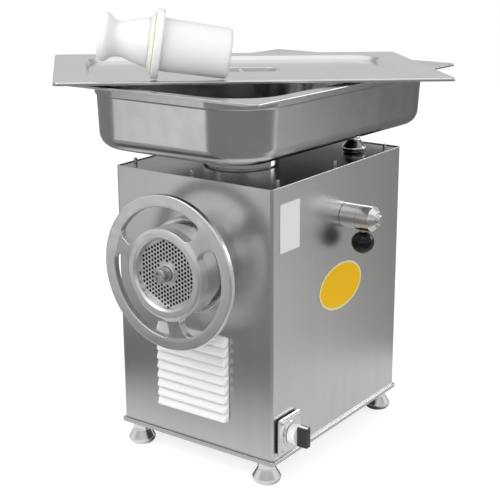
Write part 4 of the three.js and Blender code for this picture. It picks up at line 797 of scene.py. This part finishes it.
# Cable gland with a hexagon nut
GLAND_BORE, GLAND_RADIUS, GLAND_CAP, GLAND_NUT = 4, 7.7, 8.6, 11
gland = box_of("cable_gland")
NUT_BACK = DEPTH + 8.3
GLAND_BACK = DEPTH + 16.3
gland_profile = [
    (GLAND_BORE, DEPTH - 5), (GLAND_RADIUS, DEPTH - 5), (GLAND_RADIUS, NUT_BACK - SEAT),
    (GLAND_CAP, NUT_BACK, 0.4), (GLAND_CAP, DEPTH + 12, 2), (6.4, GLAND_BACK, 1.5),
    (GLAND_BORE, GLAND_BACK, 0.8),
]
nut = pipe(GLAND_RADIUS, GLAND_NUT, DEPTH + SEAT, NUT_BACK, "y", 6, (0.6, 0.8))
fitting = joined(lathe(gland_profile, "y", 48, closed=True), nut)
made("gland_fitting", at(fitting, (gland.middle.x, 0, gland.middle.z)), "cable_gland")

# Stickers on the right side
STICKER_EDGE, LABEL_CORNER = 0.1, 2
OVAL_RIM = 3.2
label_shape = sheet(box_of("blank_label"), LABEL_CORNER, "x", bevel=STICKER_EDGE)
made("label_sheet", label_shape, "blank_label")
oval = box_of("oval_sticker")
rim = ellipse(oval.half.y, oval.half.z, oval.middle[1:])
field = ellipse(oval.half.y - OVAL_RIM, oval.half.z - OVAL_RIM, oval.middle[1:])
border_shape = panel(rim, [field], oval.low.x, oval.high.x, "x", STICKER_EDGE)
field_shape = panel(field, [], oval.low.x, oval.high.x, "x", STICKER_EDGE)
made("oval_border", border_shape, "oval_sticker", finish="sticker_edge")
trim("oval_field", field_shape, "oval_sticker", "sticker_yellow")

# Grinding head: Y along its axis, zero at the front panel
KEY_ANGLE = radians(190)
KEY_RADIUS, KEY_SLOT = 3, (-60, PLATE_BACK + 6)
NOTCH_RADIUS = 3.3
MOUTH_RADIUS = 42
SEAT_RADIUS, BORE_RADIUS, NOSE_RADIUS, FLANGE_RADIUS = 49.8, 46, 56, 66
NECK_RADIUS, NECK_BORE, SHAFT_BORE = 40, 22, 13.5
FLANGE_FRONT = -SEAT - 12
BORE_BACK, NECK_FLOOR, BARREL_BACK, NECK_BACK = 158, 164, 166, 200
barrel_profile = [
    (SEAT_RADIUS, PLATE_FRONT + 1, 0.5), (NOSE_RADIUS, PLATE_FRONT + 1, 0.8),
    (NOSE_RADIUS, FLANGE_FRONT, 0.6), (FLANGE_RADIUS, FLANGE_FRONT, 1.5),
    (FLANGE_RADIUS, -SEAT, 0.5), (BARREL_RADIUS, -SEAT, 0.8),
    (BARREL_RADIUS, BARREL_BACK, 2), (NECK_RADIUS, BARREL_BACK, 1),
    (NECK_RADIUS, NECK_BACK, 1.5), (NECK_BORE, NECK_BACK), (NECK_BORE, NECK_FLOOR),
    (SHAFT_BORE, NECK_FLOOR), (SHAFT_BORE, BORE_BACK), (BORE_RADIUS, BORE_BACK),
    (BORE_RADIUS, PLATE_BACK + SEAT), (SEAT_RADIUS, PLATE_BACK + SEAT),
]
barrel = lathe(barrel_profile, "y", 120, closed=True)
mouth = at(drum(MOUTH_RADIUS, 0, 2 * BARREL_RADIUS, "z", 72), (0, THROAT_Y, 0))
key_u, key_v = polar(PLATE_RADIUS, KEY_ANGLE)
key_slot = at(drum(KEY_RADIUS, *KEY_SLOT, "y", 24), (key_u, 0, key_v))
made("barrel_casting", barrel, "head_barrel", head_place, cuts=[mouth, key_slot])


def bitten_circle(radius, bites, bite_radius, sides=168):
    """A circle with round notches bitten out of it at some angles, from 0 to a full turn."""
    reach = 2 * asin(bite_radius / (2 * radius))
    marks = []
    for k in range(sides):
        a = TURN * k / sides
        if all(abs((a - b + pi) % TURN - pi) > reach for b in bites):
            marks.append((a, 0, tuple(polar(radius, a))))
    for b in bites:
        first = b - QUARTER - reach / 2
        bitten = arc(bite_radius, polar(radius, b), first, first - pi + reach, 12)
        marks += [(b, k, tuple(point)) for k, point in enumerate(bitten)]
    return [Vector(point) for _, _, point in sorted(marks)]


# Mincing plate with its bushing, and the end of the worm's stud
HOLE_PITCH = 5.8
HOLE_RADIUS = 1.95
HOLES_FROM, HOLES_TO = 15.6, 44.6
BUSH_HOLE = 11.8
# Radii between which the hole bores carry painted shade
BORE_SHADE_FROM, BORE_SHADE_TO = 12.5, 46.5
column_pitch = HOLE_PITCH * cos(pi / 6)
plate_holes = [circle(BUSH_HOLE, sides=72)]
for column in range(-9, 10):
    for row in range(-8, 9):
        u, v = column * column_pitch, (row + column % 2 / 2) * HOLE_PITCH
        if HOLES_FROM <= hypot(u, v) <= HOLES_TO:
            plate_holes.append(circle(HOLE_RADIUS, (u, v), 20))
plate_outline = bitten_circle(PLATE_RADIUS, [KEY_ANGLE, 3 * QUARTER], NOTCH_RADIUS)
plate = panel(plate_outline, plate_holes, PLATE_FRONT, PLATE_BACK, "y", 0.25, 2)
plate = made("plate_disc", plate, "mincing_plate", head_place)
# Painted shade: the hole bores in the middle of the plate are near-black, standing for the shade
# inside them.
refinished(plate, "bore_dark", lambda r, y, n: abs(n.y) < 0.3 and BORE_SHADE_FROM < r < BORE_SHADE_TO)
BUSH_FRONT = box_of("plate_bushing").low.y
BUSH_BORE, BUSH_RADIUS, BUSH_FLANGE = 10.1, 11.3, 13
bushing_profile = [
    (BUSH_BORE, BUSH_FRONT, 0.5), (BUSH_FLANGE, BUSH_FRONT, 1.2),
    (BUSH_FLANGE, PLATE_FRONT - SEAT), (BUSH_RADIUS, PLATE_FRONT - SEAT),
    (BUSH_RADIUS, PLATE_BACK), (BUSH_BORE, PLATE_BACK),
]
bushing = lathe(bushing_profile, "y", 72, closed=True)
made("bushing_ring", bushing, "plate_bushing", head_place)
STUD_FRONT = box_of("worm").low.y
STUD_SHOULDER, STUD_CUP, STUD_ROOT = 9.7, 6, 9.3
CUP_FRONT, CUP_FLOOR = STUD_FRONT - 0.1, STUD_FRONT + 2.9
TAB_HALF = (6.2, 1.6)
stud_profile = [
    (0, CUP_FLOOR), (STUD_CUP, CUP_FLOOR, 0.4), (STUD_CUP, CUP_FRONT, 0.3),
    (STUD_SHOULDER, CUP_FRONT, 4), (STUD_SHOULDER, PLATE_FRONT), (STUD_ROOT, PLATE_FRONT),
]
tab_depth = (STUD_FRONT + 0.1, STUD_FRONT + 3.4)
tab = block(about(TAB_HALF[0]), tab_depth, about(TAB_HALF[1]), bevel=0.6, axis="y")
stud = joined(lathe(stud_profile, "y", 64), tab)
trim("stud_end", stud, "worm", "machined_steel", head_place)

# Ring handwheel: a turned casting with three long slots
RING_FRONT = box_of("ring_handwheel").low.y
RING_RADIUS, RING_OPENING = 106.5, 47.5
WEB_FRONT, RIM_FRONT, RIM_BACK = RING_FRONT + 3, RING_FRONT + 7, RING_FRONT + 17
WEB_EDGE = RIM_FRONT + 0.3
SKIRT_BACK = RING_FRONT + 41
LIP_INNER, LIP_OUTER = 50.5, 58
WEB_INNER, WEB_OUTER = 64, 88
RIM_INNER, RIM_START = 91, 94
SKIRT_RADIUS, THREAD_RADIUS = 61, 56.7
SLOT_MIDDLES, SLOT_SPAN = (101, 221, 341), 103
SLOT_INNER, SLOT_OUTER, SLOT_CORNER = 62, 90, 10
SLOT_EDGE = 1
SLOT_BACK = -30
ring_profile = [
    (RING_OPENING, PLATE_FRONT - SEAT), (RING_OPENING, WEB_FRONT, 0.8),
    (LIP_INNER, RING_FRONT, 1), (LIP_OUTER, RING_FRONT, 2), (WEB_INNER, WEB_FRONT, 6),
    (WEB_OUTER, WEB_EDGE, 5), (RIM_START, RIM_FRONT, 2), (RING_RADIUS, RIM_FRONT, 2.6),
    (RING_RADIUS, RIM_BACK, 3), (RIM_INNER, RIM_BACK, 1), (RIM_INNER, RIM_BACK - 1),
    (SKIRT_RADIUS, RIM_BACK - 1, 2), (SKIRT_RADIUS, SKIRT_BACK, 1),
    (THREAD_RADIUS, SKIRT_BACK, 0.5), (THREAD_RADIUS, PLATE_FRONT - SEAT),
]
ring = lathe(ring_profile, "y", 180, closed=True, step=12)


def ring_slot(middle):
    """The outline of one slot between two spokes, seen from the front."""
    start, end = [radians(middle + s * SLOT_SPAN / 2) for s in (-1, 1)]
    outer_turn = asin(SLOT_CORNER / (SLOT_OUTER - SLOT_CORNER))
    inner_turn = asin(SLOT_CORNER / (SLOT_INNER + SLOT_CORNER))
    outer_start, outer_end = start + outer_turn, end - outer_turn
    inner_start, inner_end = start + inner_turn, end - inner_turn

    def corner(radius, turn, first, last):
        return arc(SLOT_CORNER, polar(radius, turn), first, last, 12)

    outer, inner = SLOT_OUTER - SLOT_CORNER, SLOT_INNER + SLOT_CORNER
    return (
        arc(SLOT_OUTER, (0, 0), outer_start, outer_end, 48)
        + corner(outer, outer_end, outer_end, end + QUARTER)[1:]
        + corner(inner, inner_end, end + QUARTER, inner_end + pi)
        + arc(SLOT_INNER, (0, 0), inner_end, inner_start, 40)[1:]
        + corner(inner, inner_start, inner_start + pi, start + 3 * QUARTER)[1:]
        + corner(outer, outer_start, start - QUARTER, outer_start)[:-1]
    )


def web_front(radius):
    """How far forward the ring's web stands at a radius."""
    if radius < WEB_INNER:
        return RING_FRONT + (radius - LIP_OUTER) / 2
    share = (min(radius, WEB_OUTER) - WEB_INNER) / (WEB_OUTER - WEB_INNER)
    return WEB_FRONT + share * (WEB_EDGE - WEB_FRONT)


cutters = []
for middle in SLOT_MIDDLES:
    loop = ring_slot(middle)
    wall = [(SLOT_EDGE, -SLOT_EDGE * 3), (SLOT_EDGE, -0.02)]
    for k in range(1, 6):
        a = k / 5 * QUARTER
        wall.append((SLOT_EDGE * (1 - sin(a)), SLOT_EDGE * (1 - cos(a))))
    rings = []
    for out, sunk in wall:
        pairs = zip(inset(loop, -out), loop)
        rings.append([standing("y", *p, web_front(q.length) + sunk) for p, q in pairs])
    rings.append([standing("y", u, v, SLOT_BACK) for u, v in loop])
    cutters.append(skin(rings, caps=True))
ring = made("ring_casting", ring, "ring_handwheel", head_place, cuts=cutters)
refinished(ring, "skirt_bright", lambda r, y, n: y > RIM_BACK and r < SKIRT_RADIUS + 1)

# Clamp: sleeve, hub, lever and ball on the right side, X along the bolt
sleeve = box_of("clamp_sleeve")
HUB_START = box_of("clamp_hub").low.x
HUB_CONE, HUB_END = HUB_START + 21, HUB_START + 29
BOLT_BORE, HUB_BORE, CONE_RADIUS, NUT_RADIUS = 6.5, 6.3, 11, 7.5
LEVER_X = HUB_START + 5
LEVER_RADIUS, LEVER_SPAN = 4.6, (-36, -9)
BALL_RADIUS, BALL_TOP = 16, 15
BALL_Z = -35
BALL_BORE = 4.9
sleeve = pipe(BOLT_BORE, CLAMP_RADIUS, sleeve.low.x, sleeve.high.x, "x", edges=(0.4, 0.9))
made("clamp_tube", sleeve, "clamp_sleeve", clamp_place)
hub_profile = [
    (0, HUB_END - 0.1), (HUB_BORE, HUB_END - 0.1), (HUB_BORE, HUB_START),
    (CLAMP_RADIUS, HUB_START, 0.9), (CLAMP_RADIUS, HUB_CONE, 1.2),
    (CONE_RADIUS, HUB_END, 0.8), (NUT_RADIUS, HUB_END), (NUT_RADIUS, HUB_END + 4, 1.8),
    (0, HUB_END + 4),
]
made("clamp_end", lathe(hub_profile, "x"), "clamp_hub", clamp_place)
lever = at(drum(LEVER_RADIUS, *LEVER_SPAN, "z", 40), (LEVER_X, 0, 0))
made("lever_rod", lever, "clamp_lever", clamp_place)
ball_points = [
    (BALL_RADIUS * cos(a), BALL_RADIUS * sin(a))
    for a in (pi * k / 32 - QUARTER for k in range(1, 32))
    if BALL_RADIUS * sin(a) < BALL_TOP
]
ball_profile = [(0, -BALL_RADIUS), *ball_points, (5.6, BALL_TOP)]
ball_profile += [(BALL_BORE, BALL_TOP - 0.4), (BALL_BORE, -2), (0, -2)]
ball = at(lathe(ball_profile, "z", 72), (LEVER_X, 0, BALL_Z))
made("ball_grip", ball, "ball_knob", clamp_place)

# Switch on the right side: gasket, face, knob and grip
GASKET_INSET = 1.6
gasket = box_of("switch_gasket")
half = gasket.half.y - GASKET_INSET
gasket = panel(rounded(half, half, 3), [], gasket.low.x, gasket.high.x, "x")
made("gasket_sheet", gasket, "switch_gasket", switch_place)
switch_box = box_of("switch_plate")
SQUARE_DEPTH = 4
RAISED_MARGIN = 4
half = switch_box.half.y
raised_half = half - RAISED_MARGIN
face = switch_box.low.x + SQUARE_DEPTH
COLLAR = 18
SCREW_INSET = 6.5
SLOT_HALF = (2, 0.3)
square = panel(rounded(half, half, 4), [], switch_box.low.x, face, "x", 1.5, 5)
raised = panel(rounded(raised_half, raised_half, 3), [], face - 0.4, face + 0.25, "x", 0.24)
collar = drum(COLLAR, face - 1, face + 2, "x", edges=(0, 0.7))
head_profile = [
    (0, face - 1), (2.4, face - 1), (2.4, face + 0.9, 0.3), (1.8, face + 1.4, 0.6),
    (0, face + 1.4),
]
screws, screw_slot_shades = [], []
for u, v in CORNERS:
    y, z = u * (half - SCREW_INSET), v * (half - SCREW_INSET)
    screws.append(at(lathe(head_profile, "x", 28), (0, y, z)))
    # Painted shade: near-black blocks stand for the shade in the screw heads' slots.
    depth = (face + 1.0, face + 1.55)
    screw_slot_shades.append(block(depth, about(SLOT_HALF[0], y), about(SLOT_HALF[1], z), bevel=0.05))
face_shape = joined(square, raised, collar, *screws)
made("switch_face", face_shape, "switch_plate", switch_place)
trim("switch_screw_slot_shades", joined(*screw_slot_shades), "switch_plate", "bore_dark", switch_place)

KNOB_START = face + 2.5
BAR_START, BAR_END = KNOB_START + 11, KNOB_START + 27
DISC_RADIUS = 14.4
BAR_HALF_LENGTH, CORE_HALF = 14, 3.3
COVER_OUTER, COVER_INNER, COVER_TOP = 5.25, 3.65, 1.6
SPINDLE_RADIUS, SPINDLE_START = 4, 95
RIB_PITCH, RIB_HALF = 1.6, 0.35
RIB_SPAN = (5.1, 5.5)
DOT_RADIUS, DOT_Z = 1.5, 9.5
disc = drum(DISC_RADIUS, KNOB_START, BAR_START, "x", 72, (0.6, 2.2))
core_length = (BAR_START - 2, BAR_END - 1.9)
core = block(core_length, about(CORE_HALF), about(BAR_HALF_LENGTH), bevel=0.8, axis="x")
spindle = drum(SPINDLE_RADIUS, SPINDLE_START, KNOB_START + 1, "x", 32)
made("knob_body", joined(disc, core, spindle), "switch_knob", switch_place)
cover_section = [
    (-COVER_OUTER, BAR_START + SEAT, 0.3), (-COVER_OUTER, BAR_END, 2.2),
    (COVER_OUTER, BAR_END, 2.2), (COVER_OUTER, BAR_START + SEAT, 0.3),
    (COVER_INNER, BAR_START + SEAT), (COVER_INNER, BAR_END - COVER_TOP),
    (-COVER_INNER, BAR_END - COVER_TOP), (-COVER_INNER, BAR_START + SEAT),
]
loop = filleted(cover_section, closed=True)
cover = [[Vector((x, y, z)) for y, x in loop] for z in about(BAR_HALF_LENGTH)]
ribs = []
for k in range(-8, 9):
    for side in (-1, 1):
        depth = sorted(side * edge for edge in RIB_SPAN)
        length = (BAR_START + 1.5, BAR_END - 2.6)
        ribs.append(block(length, depth, about(RIB_HALF, k * RIB_PITCH), bevel=0.12))
cover = joined(skin(cover, caps=True), *ribs)
made("grip_shell", cover, "switch_grip_cover", switch_place, finish="cover_black")
dot = at(drum(DOT_RADIUS, BAR_END - 0.2, BAR_END, "x", 24), (0, 0, DOT_Z))
trim("grip_dot", dot, "switch_grip_cover", "dot_grey", switch_place)


# Feed pan: a flat rim with a turned-down edge, a step under the rim and a round bottom
def sheet_rings(base, profile, steps):
    """Rings round a rounded rectangle (half_x, half_y, corner), for (offset, z, fillet) points."""
    half_x, half_y, corner = base
    rings = []
    for out, z in filleted(profile, step=15):
        loop = rounded(half_x + out, half_y + out, corner + out, steps=steps)
        rings.append([Vector((u, v, z)) for u, v in loop])
    return rings


PAN_RIM = (162.5, 265, 9)
PAN_BODY = (142.5, 249, 70)
PAN_FLOOR, PAN_BASE = -86.8, -88
PAN_HOLE = 46
SPOUT_TILT_ARM = 15 - PAN_BASE
SPOUT_INNER, SPOUT_OUTER, SPOUT_FLANGE = 51, 53.5, 62.5
SPOUT_BOTTOM = -118.18
SPOUT_SHEET = 0.3
spout_top = PAN_BASE - SEAT
inside = [(-60, PAN_FLOOR), (-7.2, PAN_FLOOR, 20.8), (-3.7, -17), (-1.2, -13.3, 1.5)]
inside += [(-1.2, 0, 2.2), (5, 0)]
rim = [(-6, 0), (0, 0, 1.3), (0, -3.5, 0.4), (-1.2, -3.5, 0.3), (-1.2, -1.2, 0.6), (-6, -1.2)]
outside = [(5, -1.2), (0, -1.2, 1.2), (0, -14, 1.5), (-2.5, -17), (-6, PAN_BASE, 22)]
outside += [(-60, PAN_BASE)]
pan_rings = sheet_rings(PAN_BODY, inside, 14) + sheet_rings(PAN_RIM, rim, 14)
pan_rings += sheet_rings(PAN_BODY, outside, 14)
spout_y = THROAT_Y - PAN_Y + SPOUT_TILT_ARM * sin(-PAN_TILT)
hole = at(drum(PAN_HOLE, PAN_BASE - 12, PAN_BASE + 8, "z"), (-PAN_X, spout_y, 0))
made("pan_sheet", skin(pan_rings, caps=True), "feed_pan", pan_place, cuts=[hole])
spout_profile = [
    (SPOUT_INNER, SPOUT_BOTTOM, 0.4), (SPOUT_OUTER, SPOUT_BOTTOM, 0.6),
    (SPOUT_OUTER, spout_top - SPOUT_SHEET, 9), (SPOUT_FLANGE, spout_top - SPOUT_SHEET),
    (SPOUT_FLANGE, spout_top), (SPOUT_INNER, spout_top),
]
spout = at(lathe(spout_profile, "z", closed=True), (-PAN_X, spout_y, 0))
made("spout_tube", spout, "pan_spout", pan_place)

# Lid: a border round a shallow recess, with an oblong dish in the middle
LID_RIM = (265, 162.5, 8)
LID_RECESS = (221, 118.5, 46)
LID_DISH = (57, 26, 26)
GRIP_RADIUS, GRIP_HALF, GRIP_Z = 3.2, 21.4, -3.6
dish_top = [(-14, -11.8), (-6.2, -11.8, 3), (-1.2, 1.2, 1.4), (3, 1.2)]
recess_top = [(-12, 1.2), (-5, 1.2, 2), (0, 7.2, 2.5), (6, 7.2)]
rim = [(-6, 7.2), (0, 7.2, 2.6), (0, 2.7, 0.4), (-1.2, 2.7, 0.3), (-1.2, 6, 1.4), (-6, 6)]
recess_under = [(7, 6), (0.6, 6, 2), (-5.4, 0, 2), (-12, 0)]
dish_under = [(3, 0), (0, 0, 0.8), (-5, -13, 4), (-14, -13)]
lid_profiles = [
    (LID_DISH, dish_top),
    (LID_RECESS, recess_top),
    (LID_RIM, rim),
    (LID_RECESS, recess_under),
    (LID_DISH, dish_under),
]
lid_rings = [ring for base, profile in lid_profiles for ring in sheet_rings(base, profile, 12)]
made("lid_sheet", skin(lid_rings, caps=True), "pan_lid", lid_place)
grip_bar = at(drum(GRIP_RADIUS, -GRIP_HALF, GRIP_HALF, "y", 40), (0, 0, GRIP_Z))
made("lid_bar", grip_bar, "lid_grip", lid_place)

# Pusher: X along its axis, the pressing end at zero and the handle behind
PUSHER_ROOT = 34.2
JOINT_NECK, JOINT_RADIUS, JOINT_LENGTH = 32.7, 41, 6
HANDLE_LENGTH = 64
JOINT_FRONT = COLLAR_BACK - SEAT
JOINT_BACK = JOINT_FRONT - JOINT_LENGTH
HANDLE_FRONT = JOINT_BACK - SEAT
HANDLE_FORM = [(32.4, 0), (27.5, 0.3), (22.2, 0.62), (31.5, 0.85), (29.5, 0.97), (27.5, 1)]
pusher_profile = [
    (0, COLLAR_BACK), (COLLAR_RADIUS, COLLAR_BACK, 2.2), (COLLAR_RADIUS, COLLAR_FRONT, 2.4),
    (PUSHER_ROOT, COLLAR_FRONT, 2), (PUSHER_NOSE, 0, 4.5), (0, 0),
]
joint_profile = [
    (0, JOINT_BACK), (JOINT_NECK, JOINT_BACK, 0.5), (JOINT_RADIUS, JOINT_FRONT, 0.8),
    (0, JOINT_FRONT),
]
handle_points = [Vector((r, HANDLE_FRONT - s * HANDLE_LENGTH)) for r, s in HANDLE_FORM]
handle_profile = [(0, HANDLE_FRONT), *map(tuple, through(handle_points, 9))]
handle_profile.append((0, HANDLE_FRONT - HANDLE_LENGTH))
for name, profile, node in (
    ("pusher_round", pusher_profile, "pusher_body"),
    ("pusher_joint_ring", joint_profile, "pusher_ring"),
    ("pusher_grip", handle_profile, "pusher_handle"),
):
    made(name, lathe(profile, "x", 128), node, pusher_place)


# Stage: the floor is white paper to the camera, and metal sees the parts of a studio in it
def worked(operation, *values):
    """A sum on numbers, in the floor's material."""
    inputs = dict(enumerate(values))
    return paper.node("Math", inputs, operation=operation).outputs[0]


def product(first, *others):
    for other in others:
        first = worked("MULTIPLY", first, other)
    return first


def reaching(coordinate, start, end, low, high):
    """A value that goes smoothly from low to high as a coordinate goes from start to end."""
    return paper.ranged(coordinate, low, high, start, end, interpolation_type="SMOOTHSTEP")


def blend(share, first, second):
    inputs = {"Factor": share, "A": first, "B": second}
    return paper.node("Mix", inputs).outputs["Result"]


def along(place, way):
    """How far a place on the floor, or its direction, goes along a way."""
    node = paper.node("VectorMath", {0: place, 1: way}, operation="DOT_PRODUCT")
    return node.outputs["Value"]


def stopped(ramp, stops, span=1):
    """Sets a ramp's (place, level) stops; the places run to the span."""
    for number, (place, level) in enumerate(stops):
        if number < 2:
            stop = ramp.elements[number]
            stop.position = place / span
        else:
            stop = ramp.elements.new(place / span)
        stop.color = (level * 0.985, level * 0.995, level, 1)


WHITE = (1, 1, 1, 1)
FLOOR_REACH = 12
PAPER_GREY = (0.4, 0.4, 0.4)
PAPER_GLOW = 0.76
# The way in which the front panel sends the camera's rays, and the way across it
FRONT_WAY, CROSS_WAY = (-0.581, -0.814, 0), (0.814, -0.581, 0)
# Levels by the distance from the middle, in metres, along the front way
FRONT_STOPS = [(0, 0.5), (0.4, 0.5), (0.45, 0.08), (0.64, 0.09), (0.78, 0.36)]
FRONT_STOPS += [(1.12, 0.38), (1.4, 0.92)]
FRONT_SPAN = 2
# The level under the cabinet is a painted shadow.
OPEN_LEVEL, NEAR_LEVEL, UNDER_SHADOW_LEVEL = 0.25, 0.72, 0.05
SKY_STOPS = [(0.0, 0.6), (0.285, 0.75), (0.45, 0.45), (0.6, 0.6), (0.78, 1.15), (1.0, 1.3)]
MILD_LEVEL = 0.62

floor_mesh = bpy.data.meshes.new("floor")
floor_corners = [(u * FLOOR_REACH, v * FLOOR_REACH, 0) for u, v in CORNERS]
floor_mesh.from_pydata(floor_corners, [], [(0, 1, 2, 3)])
floor = added("floor", floor_mesh)
floor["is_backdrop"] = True

glow = {"Specular IOR Level": 0.0, "Emission Color": WHITE, "Emission Strength": PAPER_GLOW}
paper = Finish("floor_paper", PAPER_GREY, 0.0, 1.0, glow)
spot = {0: paper.coordinates}
reach = paper.node("VectorMath", spot, operation="LENGTH").outputs["Value"]
heading = paper.node("VectorMath", spot, operation="NORMALIZE").outputs[0]
onward = along(heading, FRONT_WAY)
across = along(paper.coordinates, CROSS_WAY)
place = paper.node("SeparateXYZ", {"Vector": paper.coordinates}).outputs
cloud = paper.ranged(paper.noise(1.6, 2), 0.9, 1.1)

front_share = product(
    reaching(across, -0.3, -0.16, 0, 1),
    reaching(across, 0.3, 0.36, 1, 0),
    reaching(place["Y"], -0.35, -0.2, 1, 0),
)
front_ramp = paper.node("ValToRGB", {"Fac": worked("DIVIDE", reach, FRONT_SPAN)})
stopped(front_ramp.color_ramp, FRONT_STOPS, FRONT_SPAN)
rear_share = product(reaching(onward, -0.85, -0.6, 1, 0), reaching(across, 0.45, 0.75, 1, 0))
rear_level = reaching(across, -0.25, 0.5, 0.16, 0.72)
near_share = reaching(reach, 0.42, 0.5, 1, 0)
# Painted shadow: under the cabinet the floor's glow goes near dark, standing for the shade there
# in what the tray and feet reflect.
aside = worked("ABSOLUTE", worked("SUBTRACT", place["X"], ORIGIN.x * MM))
under_shadow_share = product(
    reaching(aside, 0.12, 0.15, 1, 0),
    reaching(worked("ABSOLUTE", place["Y"]), 0.15, 0.18, 1, 0),
)
level = blend(near_share, blend(rear_share, OPEN_LEVEL, rear_level), NEAR_LEVEL)
level = blend(front_share, level, front_ramp.outputs["Color"])
level = product(blend(under_shadow_share, level, UNDER_SHADOW_LEVEL), cloud)
room_glow = paper.node("Emission", {"Strength": level}).outputs[0]
camera_ray = paper.node("LightPath", {}).outputs["Is Camera Ray"]
choice = {0: camera_ray, 1: room_glow, 2: paper.shader.outputs[0]}
surface = paper.tree.nodes["Material Output"].inputs["Surface"]
paper.tree.links.new(paper.node("MixShader", choice).outputs[0], surface)
floor_mesh.materials.append(paper.material)

# World: white to the camera, graded for reflections and even for the rest
world = bpy.data.worlds.new("studio")
scene.world = world
world.use_nodes = True
tree = world.node_tree
tree.nodes.clear()
ray = add_node(tree, "LightPath", {}).outputs
way = add_node(tree, "TexCoord", {}).outputs["Generated"]
height = add_node(tree, "SeparateXYZ", {0: way}).outputs["Z"]
sky = add_node(tree, "ValToRGB", {0: height})
sky.color_ramp.interpolation = "EASE"
stopped(sky.color_ramp, SKY_STOPS)


def background(color, strength=1.0):
    inputs = {"Color": color, "Strength": strength}
    return add_node(tree, "Background", inputs).outputs[0]


def chosen(share, first, second):
    return add_node(tree, "MixShader", {0: share, 1: first, 2: second}).outputs[0]


room = chosen(ray["Is Glossy Ray"], background(WHITE, MILD_LEVEL), background(sky.outputs[0]))
seen = chosen(ray["Is Camera Ray"], room, background(WHITE))
add_node(tree, "OutputWorld", {0: seen})

# Large rectangular lights that face the part
LIGHT_AIM = Vector((0.04, 0.0, 0.3))
# Name, place, size in metres, power in watts, and whether metal mirrors it
for name, place, size, power, reflected in (
    ("key", (-1.2, -2.0, 1.9), (2.2, 1.6), 27, False),
    ("side_fill", (2.0, -1.6, 1.2), (1.2, 1.2), 17, False),
    ("low_fill", (0.5, -2.4, 0.45), (1.4, 0.8), 14, False),
    ("strip", (-0.5, -1.3, 2.3), (1.3, 0.35), 5, True),
    ("rear_right", (1.5, 2.0, 1.15), (0.8, 0.8), 9, True),
):
    light = bpy.data.lights.new(name, "AREA")
    light.shape = "RECTANGLE"
    light.size, light.size_y = size
    light.energy = power
    obj = added(name, light)
    obj.location = place
    obj.rotation_euler = (LIGHT_AIM - Vector(place)).to_track_quat("-Z", "Y").to_euler()
    obj.visible_glossy = reflected

# Camera: to the right of the front and above, in metres and degrees
AZIMUTH, ELEVATION, ROLL = [radians(a) for a in (35.479, 16.538, -0.227)]
CAMERA_PLACE = (0.9934, -1.3761, BOTTOM * MM + 0.7322)
FOCAL_PIXELS, IMAGE_PIXELS, SENSOR = 1188, 500, 36
flat = cos(ELEVATION)
back = Vector((sin(AZIMUTH) * flat, -cos(AZIMUTH) * flat, sin(ELEVATION)))
right = Vector((cos(AZIMUTH), sin(AZIMUTH), 0))
up = back.cross(right)
turned = Matrix((right, up, back)).transposed().to_4x4() @ Matrix.Rotation(ROLL, 4, "Z")
lens = bpy.data.cameras.new("camera")
lens.sensor_width = SENSOR
lens.lens = SENSOR * FOCAL_PIXELS / IMAGE_PIXELS
camera = added("camera", lens)
camera.matrix_world = Matrix.Translation(CAMERA_PLACE) @ turned
scene.camera = camera
scene.view_settings.view_transform = "Standard"

low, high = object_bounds()
